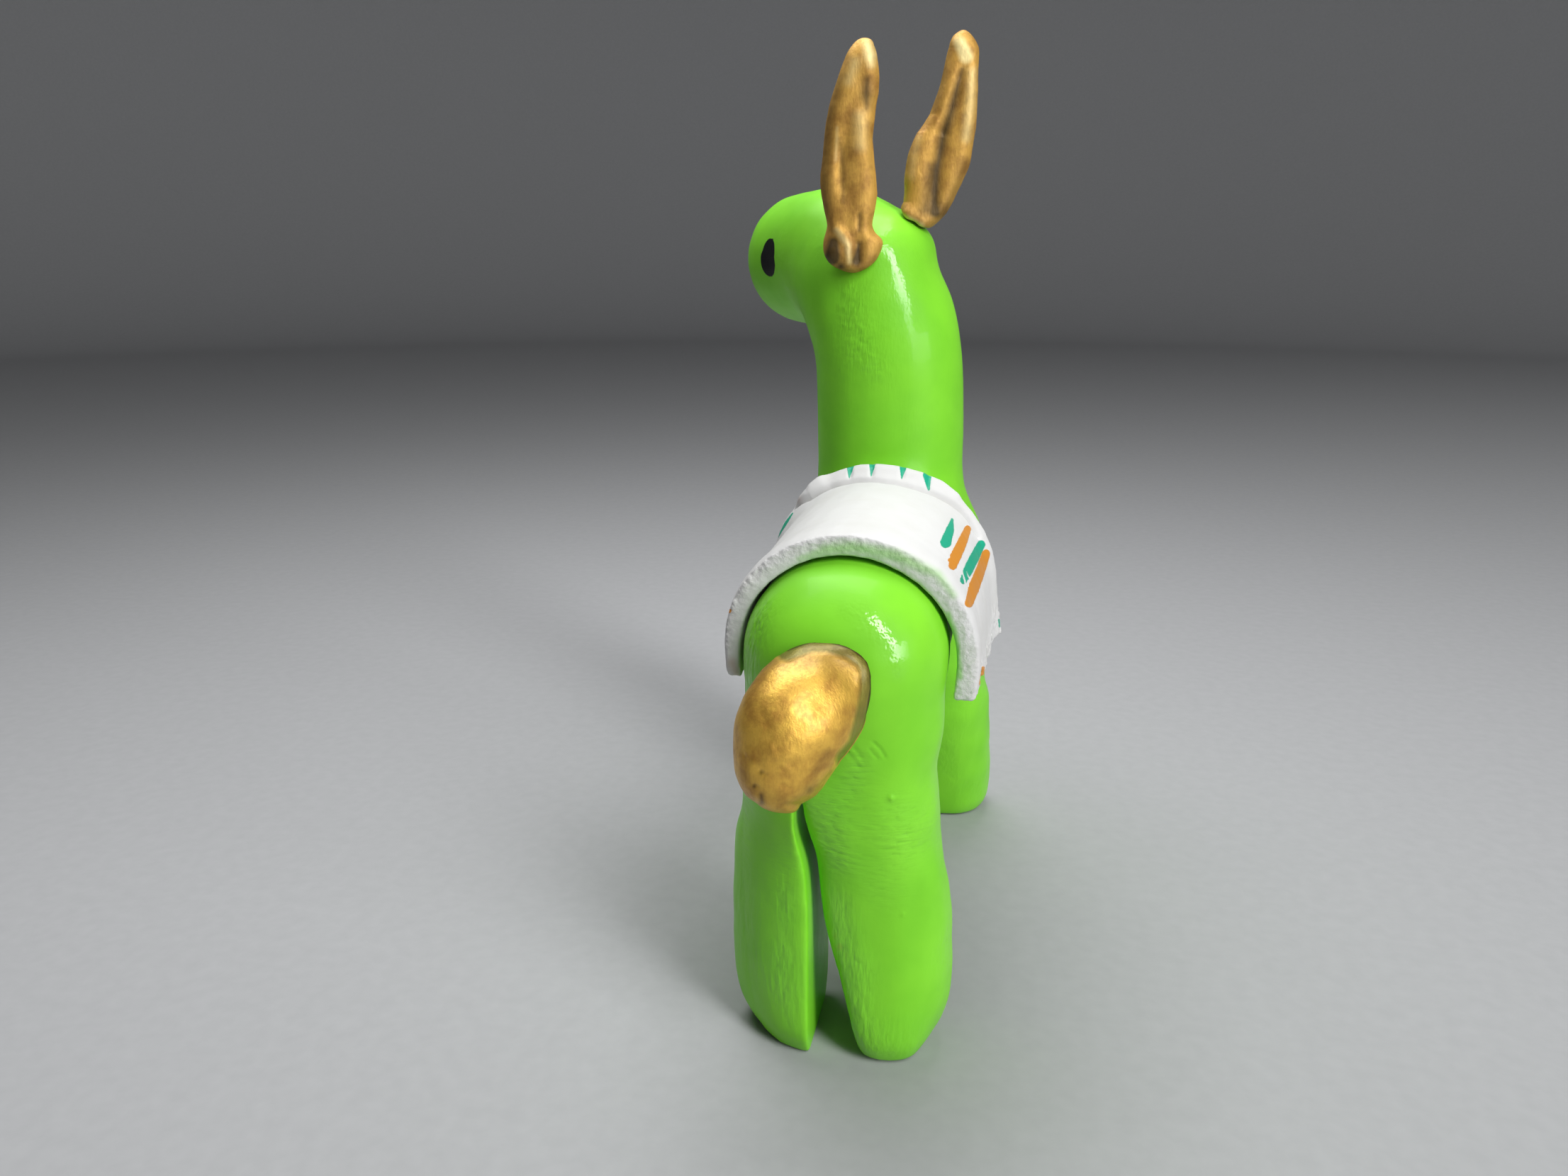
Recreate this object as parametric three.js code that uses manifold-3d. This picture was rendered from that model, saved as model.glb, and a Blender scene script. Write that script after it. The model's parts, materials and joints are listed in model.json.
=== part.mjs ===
// A small llama modelled in clay: a bent roll for the body, a slab for the blanket, pinched ears and an egg
// for a tail. Millimetres. It stands on the level plane z = 0 and faces -Y, so its own left side is +X.
// The pieces are shaped about the trunk, then moved to put the origin under the middle of their bounding box.

import * as THREE from "three";
import Module from "manifold-3d";

const wasm = await Module();
wasm.setup();

// Trunk: a level roll of clay
const trunkThick = 20.2; // across the roll
const backHeight = 53.6; // from the ground to the top of the back
const rumpX = 0.4; // middle of the rump, to the figure's left
const rumpY = 32.9; // where the rump ends
const neckBaseY = -18.5; // middle of the neck where it leaves the trunk
const trunkBend = 0.8; // how far the roll bends to the figure's left on its way to the neck
const trunkRadius = trunkThick / 2;
const trunkZ = backHeight - trunkRadius;

// Neck and head: the same roll, bent up and over
const neckThick = 19.2;
const throatThick = 19.0; // thinner, just under the head
const headThick = 18.2;
const neckRise = 27.9; // from the back to the middle of the head
const neckLean = 1.9; // how much further the neck leans to the left
const headTurn = 38; // degrees from straight ahead, to the figure's left
const headReach = 20.6; // from the neck's middle to the middle of the snout's round end
const crown = { reach: 2.6, dip: 3.2, thick: headThick - 0.6 }; // where the roll turns over: ahead, below

// Legs: a lump at each end of the trunk, parted in two by a blade
const hindSpread = 24.6; // outside of one leg to outside of the other
const hindDeep = 13.6; // front to back
const hindX = 0.4; // middle of the hind feet, to the figure's left
const hindY = 25.2;
const foreSpread = 27.2;
const foreDeep = 12.4;
const foreFootY = -33;
const foreTopY = -23;
const soleSink = 2.3; // how much of each round foot is pressed flat
const hindSlitTop = 33;
const hindSlitTopX = 4.1;
const hindSlitLeftX = 2.8; // slit's side by the left foot
const hindSlitRightX = -2.7; // slit's side by the right foot
const foreSlitTop = 24;
const foreSlitWide = 7; // between the front feet
const slitTip = 0.4; // width of both slits at the top

// How wide a fillet the wet clay makes where rolls meet
const headFillet = 4;
const neckFillet = 5;
const legFillet = 5;

// Blanket: a slab laid over the back
const slabThick = 2.3;
const slabThin = 0.72; // share of that thickness at the left side's lower edge
const seatGap = 0.3; // between any two pieces
const slabRearY = 26;
const slabLong = 31;
const dropLeft = 3.0; // how far each side hangs below the trunk's middle
const dropRight = 3.8;
const dropMore = 2.6; // extra drop at the front end of the right side
const flareLeft = 1.2; // how far the hanging edges stand off at the front
const flareRight = 1.8;
const lipRise = 1.6; // turned-up front border
const lipFade = 0.5; // how much of that rise is lost at the sides
const lipLong = 4.5;
const teeth = 4; // fringe teeth on each side
const notchDeep = 3.2;
const notchHalf = 0.2; // half a notch, as a share of a tooth

// Tail: an egg pressed on the rump
const tailThick = 11.8;
const tailTopThick = 10;
const tailTipThick = 10.6;
const tailRootX = 1.7;
const tailRootZ = 42.9;
const tailSwing = 2; // sideways, root to tip
const tailDrop = 5.6; // downwards, root to tip
const tailProud = 4.2; // how far its middle stands behind the rump

// Ears: pinched leaves pressed on the back corners of the head
const earThick = 4.4;
const leftEar = {
  round: -45, // degrees round the head from its back
  rise: 16, // degrees up from level
  footDrop: 1.1, // how far the foot reaches below its middle
  tip: [-0.5, 0, 24.9], // from the middle of its foot
  bow: 1.05, // sideways curve, to the figure's left
  wide: { foot: 7.2, waist: 6.3, belly: 7.1, shoulder: 5.8 },
  facing: 5, // degrees from straight back
  crease: 0.3, // depth of the fold, as a share of half the thickness
};
const rightEar = {
  round: 30,
  rise: 60,
  footDrop: 2.6,
  tip: [-5.9, -2, 21.4],
  bow: -1.6,
  wide: { foot: 5.8, waist: 6.8, belly: 7.7, shoulder: 4.4 },
  facing: 18,
  crease: 0.42,
};

// How finely each piece is faced
const bodyCell = 2.5;
const tailCell = 1.7;
const seatCell = 1.7;
const slabRows = 22; // round the back
const toothColumns = 5; // along each tooth
const earRings = 18;
const earSides = 20;

const colours = {
  body: { color: 0x7fd63c, roughness: 0.42, metalness: 0 },
  blanket: { color: 0xe6e7e6, roughness: 0.6, metalness: 0 },
  gold: { color: 0xb8873a, roughness: 0.4, metalness: 0.7 },
};

// Two distances joined as wet clay joins, with a fillet as wide as `width`.
function blend(a, b, width) {
  const share = THREE.MathUtils.clamp(0.5 + (0.5 * (b - a)) / width, 0, 1);
  return THREE.MathUtils.lerp(b, a, share) - width * share * (1 - share);
}

// Distance to a roll of clay. Each station is its middle, its radius and how far it is spread sideways (x).
function roll(stations, steps = 12) {
  const middles = new THREE.CatmullRomCurve3(stations.map((s) => new THREE.Vector3(s.x, s.y, s.z)));
  const sizes = new THREE.CatmullRomCurve3(
    stations.map((s) => new THREE.Vector3(s.radius, s.spread ?? 0, 0)),
  );
  const links = [];
  for (let i = 0; i < steps; i++) {
    const [t0, t1] = [i / steps, (i + 1) / steps];
    links.push({
      from: middles.getPoint(t0),
      along: middles.getPoint(t1).sub(middles.getPoint(t0)),
      size: sizes.getPoint(t0),
      change: sizes.getPoint(t1).sub(sizes.getPoint(t0)),
    });
  }
  const toPoint = new THREE.Vector3();
  return (point) => {
    let nearest = Infinity;
    for (const { from, along, size, change } of links) {
      toPoint.subVectors(point, from);
      toPoint.x = Math.sign(toPoint.x) * Math.max(Math.abs(toPoint.x) - size.y, 0);
      const t = THREE.MathUtils.clamp(toPoint.dot(along) / along.lengthSq(), 0, 1);
      toPoint.addScaledVector(along, -t);
      nearest = Math.min(nearest, toPoint.length() - (size.x + change.x * t));
    }
    return nearest;
  };
}

// Moves a point that lies near a surface onto it.
function settle(point, field, tries = 2) {
  const reach = 0.05;
  const slope = new THREE.Vector3();
  for (let i = 0; i < tries; i++) {
    const away = field(point);
    for (const axis of ["x", "y", "z"]) {
      const beside = point.clone();
      beside[axis] += reach;
      slope[axis] = (field(beside) - away) / reach;
    }
    if (slope.lengthSq() > 0.2) point.addScaledVector(slope, -away / slope.lengthSq());
  }
  return point;
}

// The closed surface where a distance is zero: a corner in each cell that it crosses, a face on each edge.
function wrap(field, box, cell) {
  const low = box.min.clone().subScalar(cell);
  const count = box.getSize(new THREE.Vector3()).divideScalar(cell).ceil().addScalar(3);
  const at = (i, j, k) => i + count.x * (j + count.y * k);
  const values = new Float64Array(count.x * count.y * count.z);
  const point = new THREE.Vector3();
  for (let k = 0; k < count.z; k++)
    for (let j = 0; j < count.y; j++)
      for (let i = 0; i < count.x; i++)
        values[at(i, j, k)] = field(point.set(i, j, k).multiplyScalar(cell).add(low));

  const steps = [at(1, 0, 0), at(0, 1, 0), at(0, 0, 1)];
  const axes = [new THREE.Vector3(1, 0, 0), new THREE.Vector3(0, 1, 0), new THREE.Vector3(0, 0, 1)];
  const corners = [];
  const cornerOf = new Map();
  for (let k = 0; k < count.z - 1; k++)
    for (let j = 0; j < count.y - 1; j++)
      for (let i = 0; i < count.x - 1; i++) {
        const sum = new THREE.Vector3();
        let crossings = 0;
        for (let axis = 0; axis < 3; axis++) {
          const [side, other] = [(axis + 1) % 3, (axis + 2) % 3];
          for (const [s, o] of [[0, 0], [1, 0], [0, 1], [1, 1]]) {
            const start = at(i, j, k) + s * steps[side] + o * steps[other];
            const [a, b] = [values[start], values[start + steps[axis]]];
            if (a < 0 === b < 0) continue;
            sum.addScaledVector(axes[axis], a / (a - b));
            sum.addScaledVector(axes[side], s).addScaledVector(axes[other], o);
            crossings++;
          }
        }
        if (!crossings) continue;
        cornerOf.set(at(i, j, k), corners.length / 3);
        sum.divideScalar(crossings).add(point.set(i, j, k)).multiplyScalar(cell).add(low);
        corners.push(...settle(sum, field).toArray());
      }

  const faces = [];
  for (const [cube] of cornerOf)
    for (let axis = 0; axis < 3; axis++) {
      const [side, other] = [steps[(axis + 1) % 3], steps[(axis + 2) % 3]];
      const [a, b] = [values[cube], values[cube + steps[axis]]];
      if (a < 0 === b < 0) continue;
      const ring = [cube, cube - side, cube - side - other, cube - other].map((c) => cornerOf.get(c));
      if (a > 0) ring.reverse();
      faces.push(ring[0], ring[1], ring[2], ring[0], ring[2], ring[3]);
    }
  return solid(corners, faces);
}

function solid(corners, faces) {
  return new wasm.Manifold(
    new wasm.Mesh({
      numProp: 3,
      vertProperties: new Float32Array(corners),
      triVerts: new Uint32Array(faces),
    }),
  );
}

// Closed solid through rings of points, with a hub at the middle of the first ring and of the last.
function loft(rings) {
  const sides = rings[0].length;
  const corners = rings.flat().flatMap((p) => p.toArray());
  const faces = [];
  for (let r = 0; r + 1 < rings.length; r++)
    for (let s = 0; s < sides; s++) {
      const [a, b] = [r * sides + s, r * sides + ((s + 1) % sides)];
      faces.push(a, b, b + sides, a, b + sides, a + sides);
    }
  for (const [ring, turn] of [[0, -1], [rings.length - 1, 1]]) {
    const middle = new THREE.Vector3();
    rings[ring].forEach((p) => middle.addScaledVector(p, 1 / sides));
    const hub = corners.length / 3;
    corners.push(...middle.toArray());
    for (let s = 0; s < sides; s++) {
      const pair = [ring * sides + s, ring * sides + ((s + 1) % sides)];
      if (turn < 0) pair.reverse();
      faces.push(hub, ...pair);
    }
  }
  return solid(corners, faces);
}

// Closed solid between two sheets of points, given column by column.
function slab(outer, inner) {
  const rows = outer[0].length;
  const columns = outer.length;
  const corners = [...outer, ...inner].flat().flatMap((p) => p.toArray());
  const skin = (c, r) => c * rows + r;
  const lining = (c, r) => (columns + c) * rows + r;
  const faces = [];
  const quad = (a, b, c, d) => faces.push(a, b, c, a, c, d);
  for (let c = 0; c + 1 < columns; c++)
    for (let r = 0; r + 1 < rows; r++) {
      quad(skin(c, r), skin(c, r + 1), skin(c + 1, r + 1), skin(c + 1, r));
      quad(lining(c, r), lining(c + 1, r), lining(c + 1, r + 1), lining(c, r + 1));
    }
  for (let c = 0; c + 1 < columns; c++) {
    quad(skin(c, 0), skin(c + 1, 0), lining(c + 1, 0), lining(c, 0));
    quad(skin(c, rows - 1), lining(c, rows - 1), lining(c + 1, rows - 1), skin(c + 1, rows - 1));
  }
  for (let r = 0; r + 1 < rows; r++) {
    quad(skin(0, r), lining(0, r), lining(0, r + 1), skin(0, r + 1));
    quad(skin(columns - 1, r), skin(columns - 1, r + 1), lining(columns - 1, r + 1), lining(columns - 1, r));
  }
  return solid(corners, faces);
}

// The body as a distance to its surface
const hindRadius = hindDeep / 2;
const foreRadius = foreDeep / 2;
const headRadius = headThick / 2;
const headZ = backHeight + neckRise;
const up = new THREE.Vector3(0, 0, 1);
const turned = (degrees, way) => way.clone().applyAxisAngle(up, THREE.MathUtils.degToRad(degrees));
const headWay = turned(headTurn, new THREE.Vector3(0, -1, 0));
const bendAt = (y) => rumpX + trunkBend * THREE.MathUtils.clamp((rumpY - y) / (rumpY - neckBaseY), 0, 1) ** 2;
const nape = new THREE.Vector3(rumpX + trunkBend + neckLean, neckBaseY - 1, headZ);
const snout = nape.clone().addScaledVector(headWay, headReach);

const trunkAt = (y) => ({ x: bendAt(y), y, z: trunkZ, radius: trunkRadius });
const trunk = roll(
  [0, 1 / 3, 2 / 3, 1].map((share) => trunkAt(THREE.MathUtils.lerp(rumpY - trunkRadius, neckBaseY, share))),
  6,
);

const neckAt = (share, radius) => ({
  x: rumpX + trunkBend + neckLean * share,
  y: neckBaseY - share,
  z: THREE.MathUtils.lerp(trunkZ, headZ, share),
  radius,
});
const headAt = (reach, dip, radius) => ({
  x: nape.x + headWay.x * reach,
  y: nape.y + headWay.y * reach,
  z: headZ - dip,
  radius,
});
const crownStation = headAt(crown.reach, crown.dip, crown.thick / 2);
const neck = roll([
  neckAt(0, trunkRadius),
  neckAt(0.25, neckThick / 2),
  neckAt(0.5, neckThick / 2),
  neckAt(0.72, throatThick / 2),
  crownStation,
], 16);
const head = roll([
  crownStation,
  headAt(headReach * 0.5, 0, headRadius),
  headAt(headReach, 0, headRadius),
], 6);

const hindLegs = roll([
  { x: 0, y: hindY + 1, z: trunkZ, radius: hindRadius, spread: trunkRadius - hindRadius - 1 },
  { x: hindX, y: hindY, z: trunkZ * 0.5, radius: hindRadius, spread: hindSpread / 2 - hindRadius - 0.6 },
  { x: hindX, y: hindY, z: hindRadius - soleSink, radius: hindRadius, spread: hindSpread / 2 - hindRadius },
], 6);

const foreLegs = roll([
  { x: 0, y: foreTopY, z: trunkZ, radius: foreRadius, spread: trunkRadius - foreRadius },
  {
    x: 0,
    y: THREE.MathUtils.lerp(foreFootY, foreTopY, 0.5),
    z: trunkZ * 0.45,
    radius: foreRadius,
    spread: foreSpread / 2 - foreRadius - 0.8,
  },
  { x: 0, y: foreFootY, z: foreRadius - soleSink, radius: foreRadius, spread: foreSpread / 2 - foreRadius },
], 6);

function body(point) {
  const legs = Math.min(hindLegs(point), foreLegs(point));
  const upper = blend(neck(point), head(point), headFillet);
  const rolls = blend(trunk(point), upper, neckFillet);
  return blend(rolls, legs, legFillet);
}

// A blade's cut from below: a wedge through a pair of legs, straight by the right leg and bowed by the left.
function slit(top, topX, leftX, rightX, rearY, frontY) {
  const shape = new THREE.Shape();
  shape.moveTo(rightX, -2 * soleSink);
  shape.lineTo(leftX, -2 * soleSink);
  shape.lineTo(leftX, top * 0.4);
  shape.quadraticCurveTo(leftX, top * 0.7, topX + slitTip / 2, top);
  shape.lineTo(topX - slitTip / 2, top);
  shape.lineTo(rightX, 0);
  shape.closePath();
  const depth = rearY - frontY;
  const wedge = new THREE.ExtrudeGeometry(shape, { depth, bevelEnabled: false, curveSegments: 4 });
  wedge.rotateX(Math.PI / 2);
  wedge.translate(0, rearY, 0);
  return fromGeometry(wedge);
}

function fromGeometry(geometry) {
  const flat = geometry.index ? geometry.toNonIndexed() : geometry;
  const places = flat.getAttribute("position").array;
  const known = new Map();
  const corners = [];
  const faces = [];
  for (let i = 0; i < places.length; i += 3) {
    const key = [0, 1, 2].map((n) => places[i + n].toFixed(4)).join();
    if (!known.has(key)) {
      known.set(key, corners.length / 3);
      corners.push(places[i], places[i + 1], places[i + 2]);
    }
    faces.push(known.get(key));
  }
  return solid(corners, faces);
}

// The ground under the figure, which presses the soles flat
function ground() {
  const side = 2 * headZ;
  const slab = new THREE.BoxGeometry(side, side, headThick);
  slab.translate(0, 0, -headRadius);
  return fromGeometry(slab);
}

function makeBody() {
  const farFoot = Math.max(hindSpread, foreSpread) / 2 + Math.abs(hindX);
  const box = new THREE.Box3(
    new THREE.Vector3(
      Math.min(-farFoot, snout.x - headRadius),
      Math.min(foreFootY - foreRadius, snout.y - headRadius),
      -soleSink,
    ),
    new THREE.Vector3(
      Math.max(farFoot, snout.x + headRadius),
      Math.max(rumpY, hindY + hindRadius),
      headZ + headRadius,
    ),
  ).expandByScalar(1);
  const hindCut = slit(
    hindSlitTop,
    hindSlitTopX,
    hindSlitLeftX,
    hindSlitRightX,
    hindY + hindDeep,
    hindY - hindDeep,
  );
  const foreMiddle = bendAt(foreTopY);
  const foreCut = slit(
    foreSlitTop,
    foreMiddle,
    foreMiddle + foreSlitWide / 2,
    foreMiddle - foreSlitWide / 2,
    foreTopY + foreDeep,
    foreFootY - foreDeep,
  );
  return wrap(body, box, bodyCell).subtract(ground()).subtract(hindCut).subtract(foreCut);
}

// Blanket: two sheets of points round the back, which stand clear of the body and make its inside and outside
function makeBlanket() {
  const seat = trunkRadius + seatGap;
  const arc = (Math.PI / 2) * seat; // from the top of the back to level with the trunk's middle
  const columns = teeth * toothColumns;
  const sheet = (thick) => {
    const points = [];
    for (let c = 0; c <= columns; c++) {
      const along = c / columns;
      const y = slabRearY - slabLong * along;
      const curl = THREE.MathUtils.smoothstep(along * slabLong, slabLong - lipLong, slabLong);
      const phase = (along * teeth) % 1;
      const inNotch = 1 - Math.abs(phase - Math.round(phase)) / notchHalf;
      const cut = c === 0 || c === columns ? 0 : notchDeep * Math.max(0, inNotch);
      const left = arc + dropLeft;
      const right = arc + dropRight + dropMore * along;
      const column = [];
      for (let r = 0; r <= slabRows; r++) {
        const s = THREE.MathUtils.lerp(cut - left, right - cut, r / slabRows);
        const down = Math.abs(s) / arc;
        const turn = THREE.MathUtils.clamp(s / seat, -Math.PI / 2, Math.PI / 2);
        const out = new THREE.Vector3(-Math.sin(turn), 0, Math.cos(turn));
        const lip = lipRise * curl * (1 - lipFade * Math.min(1, down) ** 2);
        const stand = s < 0 ? flareLeft * (s / left) ** 2 : flareRight * (s / right) ** 2;
        const p = new THREE.Vector3(bendAt(y), y, trunkZ);
        p.addScaledVector(out, seat + lip + stand * Math.sqrt(along));
        p.z -= Math.max(Math.abs(s) - arc, 0);
        for (let i = 0; i < 5; i++) p.addScaledVector(out, Math.max(0, seatGap - body(p)));
        const thin = s < 0 ? (1 - slabThin) * Math.min(1, down) ** 2 : 0;
        column.push(p.addScaledVector(out, thick * (1 - thin)));
      }
      points.push(column);
    }
    return points;
  };
  const inner = sheet(0);
  const outer = sheet(slabThick);
  return slab(outer, inner);
}

// Cuts from a shape what would reach into the body, as if it had been pressed on while soft.
function pressOn(shape, place, around) {
  const box = new THREE.Box3().setFromPoints([place]).expandByScalar(around + 1);
  const nearBody = (p) => Math.max(body(p) - seatGap, p.distanceTo(place) - around);
  return shape.subtract(wrap(nearBody, box, seatCell));
}

// Tail: a short fat roll
const tailAt = (share, proud, thick) => ({
  x: tailRootX + tailSwing * share,
  y: rumpY + tailProud * proud,
  z: tailRootZ - tailDrop * share,
  radius: thick / 2,
});
const tailField = roll([
  tailAt(0, 0.3, tailTopThick),
  tailAt(0.4, 0.85, tailThick),
  tailAt(1, 1, tailTipThick),
], 6);

function makeTail() {
  const root = new THREE.Vector3(tailRootX, rumpY, tailRootZ);
  const tip = new THREE.Vector3(tailRootX + tailSwing, rumpY + tailProud, tailRootZ - tailDrop);
  const box = new THREE.Box3().setFromPoints([root, tip]).expandByScalar(tailThick / 2 + 1);
  return pressOn(wrap(tailField, box, tailCell), root, tailThick);
}

// An ear's outline: share of its height, and how wide it is there
const earOutline = ({ foot, waist, belly, shoulder }) => [
  [0, 0.3 * foot],
  [0.04, 0.76 * foot],
  [0.1, foot],
  [0.22, waist],
  [0.36, belly],
  [0.78, shoulder],
  [0.91, 0.76 * shoulder],
  [0.97, 0.44 * shoulder],
  [1, 0.12 * shoulder],
];

// Ear: a leaf folded lengthwise, pinched narrow above its foot
function makeEar({ round, rise, footDrop, tip, bow, wide, facing, crease }) {
  const way = turned(round, headWay.clone().negate());
  way.setZ(Math.tan(THREE.MathUtils.degToRad(rise))).normalize();
  const middle = new THREE.Vector3(crownStation.x, crownStation.y, crownStation.z);
  for (let i = 0; i < 8; i++) middle.addScaledVector(way, -body(middle));
  const foot = middle.clone().addScaledVector(up, -footDrop);
  const end = middle.clone().add(new THREE.Vector3(...tip));
  const out = turned(facing, new THREE.Vector3(0, 1, 0));
  const across = new THREE.Vector3().crossVectors(out, up);
  const outline = earOutline(wide).map(([share, width]) => new THREE.Vector2(share, width));
  const rings = new THREE.SplineCurve(outline).getPoints(earRings).map(({ x: t, y: width }) => {
    const half = width / 2;
    const deep = Math.min(earThick, 0.9 * width) / 2;
    const centre = foot.clone().lerp(end, t).addScaledVector(across, bow * Math.sin(Math.PI * t));
    return Array.from({ length: earSides }, (_, s) => {
      const angle = (2 * Math.PI * s) / earSides;
      const groove = (at, span) => Math.exp(-(((angle - at) / span) ** 2)) * Math.sin(Math.PI * t) ** 0.6;
      const reach = 1 - crease * (groove(Math.PI / 2, 0.42) + 0.7 * groove(1.5 * Math.PI, 0.6));
      return centre
        .clone()
        .addScaledVector(across, Math.cos(angle) * half * reach)
        .addScaledVector(out, Math.sin(angle) * deep * reach);
    });
  });
  return pressOn(loft(rings), middle, headRadius);
}

function pieceOf(name, shape, finish) {
  const made = shape.getMesh();
  const geometry = new THREE.BufferGeometry();
  geometry.setAttribute("position", new THREE.BufferAttribute(new Float32Array(made.vertProperties), 3));
  geometry.setIndex(new THREE.BufferAttribute(new Uint32Array(made.triVerts), 1));
  geometry.computeVertexNormals();
  const mesh = new THREE.Mesh(geometry, new THREE.MeshStandardMaterial(finish));
  mesh.name = name;
  return mesh;
}

const llama = new THREE.Group();
llama.add(pieceOf("body", makeBody(), colours.body));
llama.add(pieceOf("blanket", makeBlanket(), colours.blanket));
llama.add(pieceOf("tail", makeTail(), colours.gold));
llama.add(pieceOf("ear_left", makeEar(leftEar), colours.gold));
llama.add(pieceOf("ear_right", makeEar(rightEar), colours.gold));

const middle = new THREE.Box3().setFromObject(llama).getCenter(new THREE.Vector3());
for (const piece of llama.children) piece.geometry.translate(-middle.x, -middle.y, 0);

export default llama;
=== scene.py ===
# %% [markdown]
# A clay llama, 108 mm tall. One roll of clay was bent into trunk, neck and head, and the legs were parted with a
# blade. A slab was laid over the back with its front border turned up, the ears were pinched, and the tail is an egg
# pressed on the rump. The body was then painted lime green, the ears and tail gold, and the slab stayed white with
# dabs of teal and orange.
#
# The solids of those five pieces are loaded first. They give the true form, so each piece here starts from its
# solid, gets a fine skin, and is then worked as clay is worked: pressed, creased and roughened.

# %% Load the solids
import json
import math

import bmesh
import bpy
import numpy as np
from mathutils import Matrix, Vector, noise
from mathutils.bvhtree import BVHTree
from mathutils.kdtree import KDTree

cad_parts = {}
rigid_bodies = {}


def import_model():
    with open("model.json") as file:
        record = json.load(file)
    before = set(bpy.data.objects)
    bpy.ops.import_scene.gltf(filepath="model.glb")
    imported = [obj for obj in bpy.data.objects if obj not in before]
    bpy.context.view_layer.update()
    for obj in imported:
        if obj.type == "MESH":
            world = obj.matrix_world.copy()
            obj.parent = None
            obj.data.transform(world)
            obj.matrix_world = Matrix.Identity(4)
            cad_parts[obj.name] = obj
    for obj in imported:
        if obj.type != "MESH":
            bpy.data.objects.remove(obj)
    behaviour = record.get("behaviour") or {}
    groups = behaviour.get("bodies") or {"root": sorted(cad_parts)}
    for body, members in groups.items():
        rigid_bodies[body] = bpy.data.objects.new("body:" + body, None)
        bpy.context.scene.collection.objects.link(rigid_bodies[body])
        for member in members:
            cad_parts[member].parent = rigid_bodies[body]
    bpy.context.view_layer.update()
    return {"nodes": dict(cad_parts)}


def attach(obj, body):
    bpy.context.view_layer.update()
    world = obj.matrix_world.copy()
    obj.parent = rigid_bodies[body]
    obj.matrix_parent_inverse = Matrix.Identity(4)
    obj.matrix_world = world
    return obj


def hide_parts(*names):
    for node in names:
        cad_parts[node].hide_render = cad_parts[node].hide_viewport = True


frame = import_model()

MM = 0.001
scene = bpy.context.scene
print("solids:", ", ".join(sorted(frame["nodes"])))

# %% [markdown]
# The camera comes before the pieces, because small marks are placed by where they show in the photograph. It stands
# behind the llama, a little to its right, close up with a wide lens, and looks down.

# %% Camera
PHOTO_WIDE, PHOTO_HIGH = 2212, 1659
CAMERA_PLACE = Vector((-21.94, 136.99, 82.6)) * MM
CAMERA_TURN = math.radians(192)
CAMERA_PITCH = math.radians(16)
LENS = 27
SENSOR = 36
FOCUS = PHOTO_WIDE * LENS / SENSOR  # in pixels

camera = bpy.data.objects.new("camera", bpy.data.cameras.new("camera"))
scene.collection.objects.link(camera)
camera.location = CAMERA_PLACE
camera.rotation_euler = (math.pi / 2 - CAMERA_PITCH, 0, CAMERA_TURN)
camera.data.lens = LENS
camera.data.sensor_width = SENSOR
camera.data.clip_start = 5 * MM
scene.camera = camera
bpy.context.view_layer.update()

# %% [markdown]
# A pressed mark needs a place in space: a line from the camera through a pixel is followed until it meets the clay.
# A dab of paint is read the other way round: each corner of the skin is asked in which pixel it shows, so the dab
# gets its outline from the photograph, and still lies on the clay.


# %% Pixels and places
def tree_of(piece):
    return BVHTree.FromObject(piece, bpy.context.evaluated_depsgraph_get())


# A pixel that just misses a piece gives way to its neighbours, in rings that grow.
NEARBY = [(0, 0)] + [(r * math.sin(a), r * math.cos(a)) for r in range(2, 20, 2) for a in range(7)]


def spot(x, y, tree):
    """The point in millimetres where a pixel, or the nearest one that hits, meets a piece."""
    for aside, below in NEARBY:
        aim = Vector(((x + aside - PHOTO_WIDE / 2) / FOCUS, (PHOTO_HIGH / 2 - y - below) / FOCUS, -1))
        place, _, _, _ = tree.ray_cast(CAMERA_PLACE, camera.matrix_world.to_3x3() @ aim)
        if place is not None:
            return np.array(place) / MM
    raise ValueError(f"no surface near pixel {x}, {y}")


def spots(pixels, tree):
    return [spot(x, y, tree) for x, y in pixels]


def in_photo(points, facings):
    """For points in millimetres: the pixel of each, how wide a pixel is there, and whether its side is seen."""
    away = points - np.array(CAMERA_PLACE) / MM
    side, up, back = (away @ np.array(camera.matrix_world.to_3x3())).T
    pixels = np.stack([PHOTO_WIDE / 2 - FOCUS * side / back, PHOTO_HIGH / 2 + FOCUS * up / back], axis=1)
    return pixels, -back / FOCUS, (facings * away).sum(1) < 0


print("pixel 1250, 1200 meets the right hind leg at mm", spot(1250, 1200, tree_of(frame["nodes"]["body"])).round(1))

# %% [markdown]
# Every solid has flat faces a millimetre or two wide. A voxel remesh lays an even grid of tiny quads over it, and
# averaging each corner with its neighbours many times melts the flats together. That would also melt the edges that
# a blade cut. Edges on the left of the cut between the legs, and those of the blanket, stay crisp, so corners near
# them are held back. A vertex group can do that: it tells the Smooth modifier how freely each corner moves.


# %% Edges that stay crisp
EDGE_ANGLE = math.radians(40)
EDGE_STEP = 0.5 * MM
FREEDOMS = 20  # a vertex group is filled one strength at a time, so there are only so many


def settled(piece):
    """A piece whose modifiers have become its mesh."""
    made = bpy.data.meshes.new_from_object(piece.evaluated_get(bpy.context.evaluated_depsgraph_get()))
    made.name = piece.name
    piece.modifiers.clear()
    piece.data = made
    return piece


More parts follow.
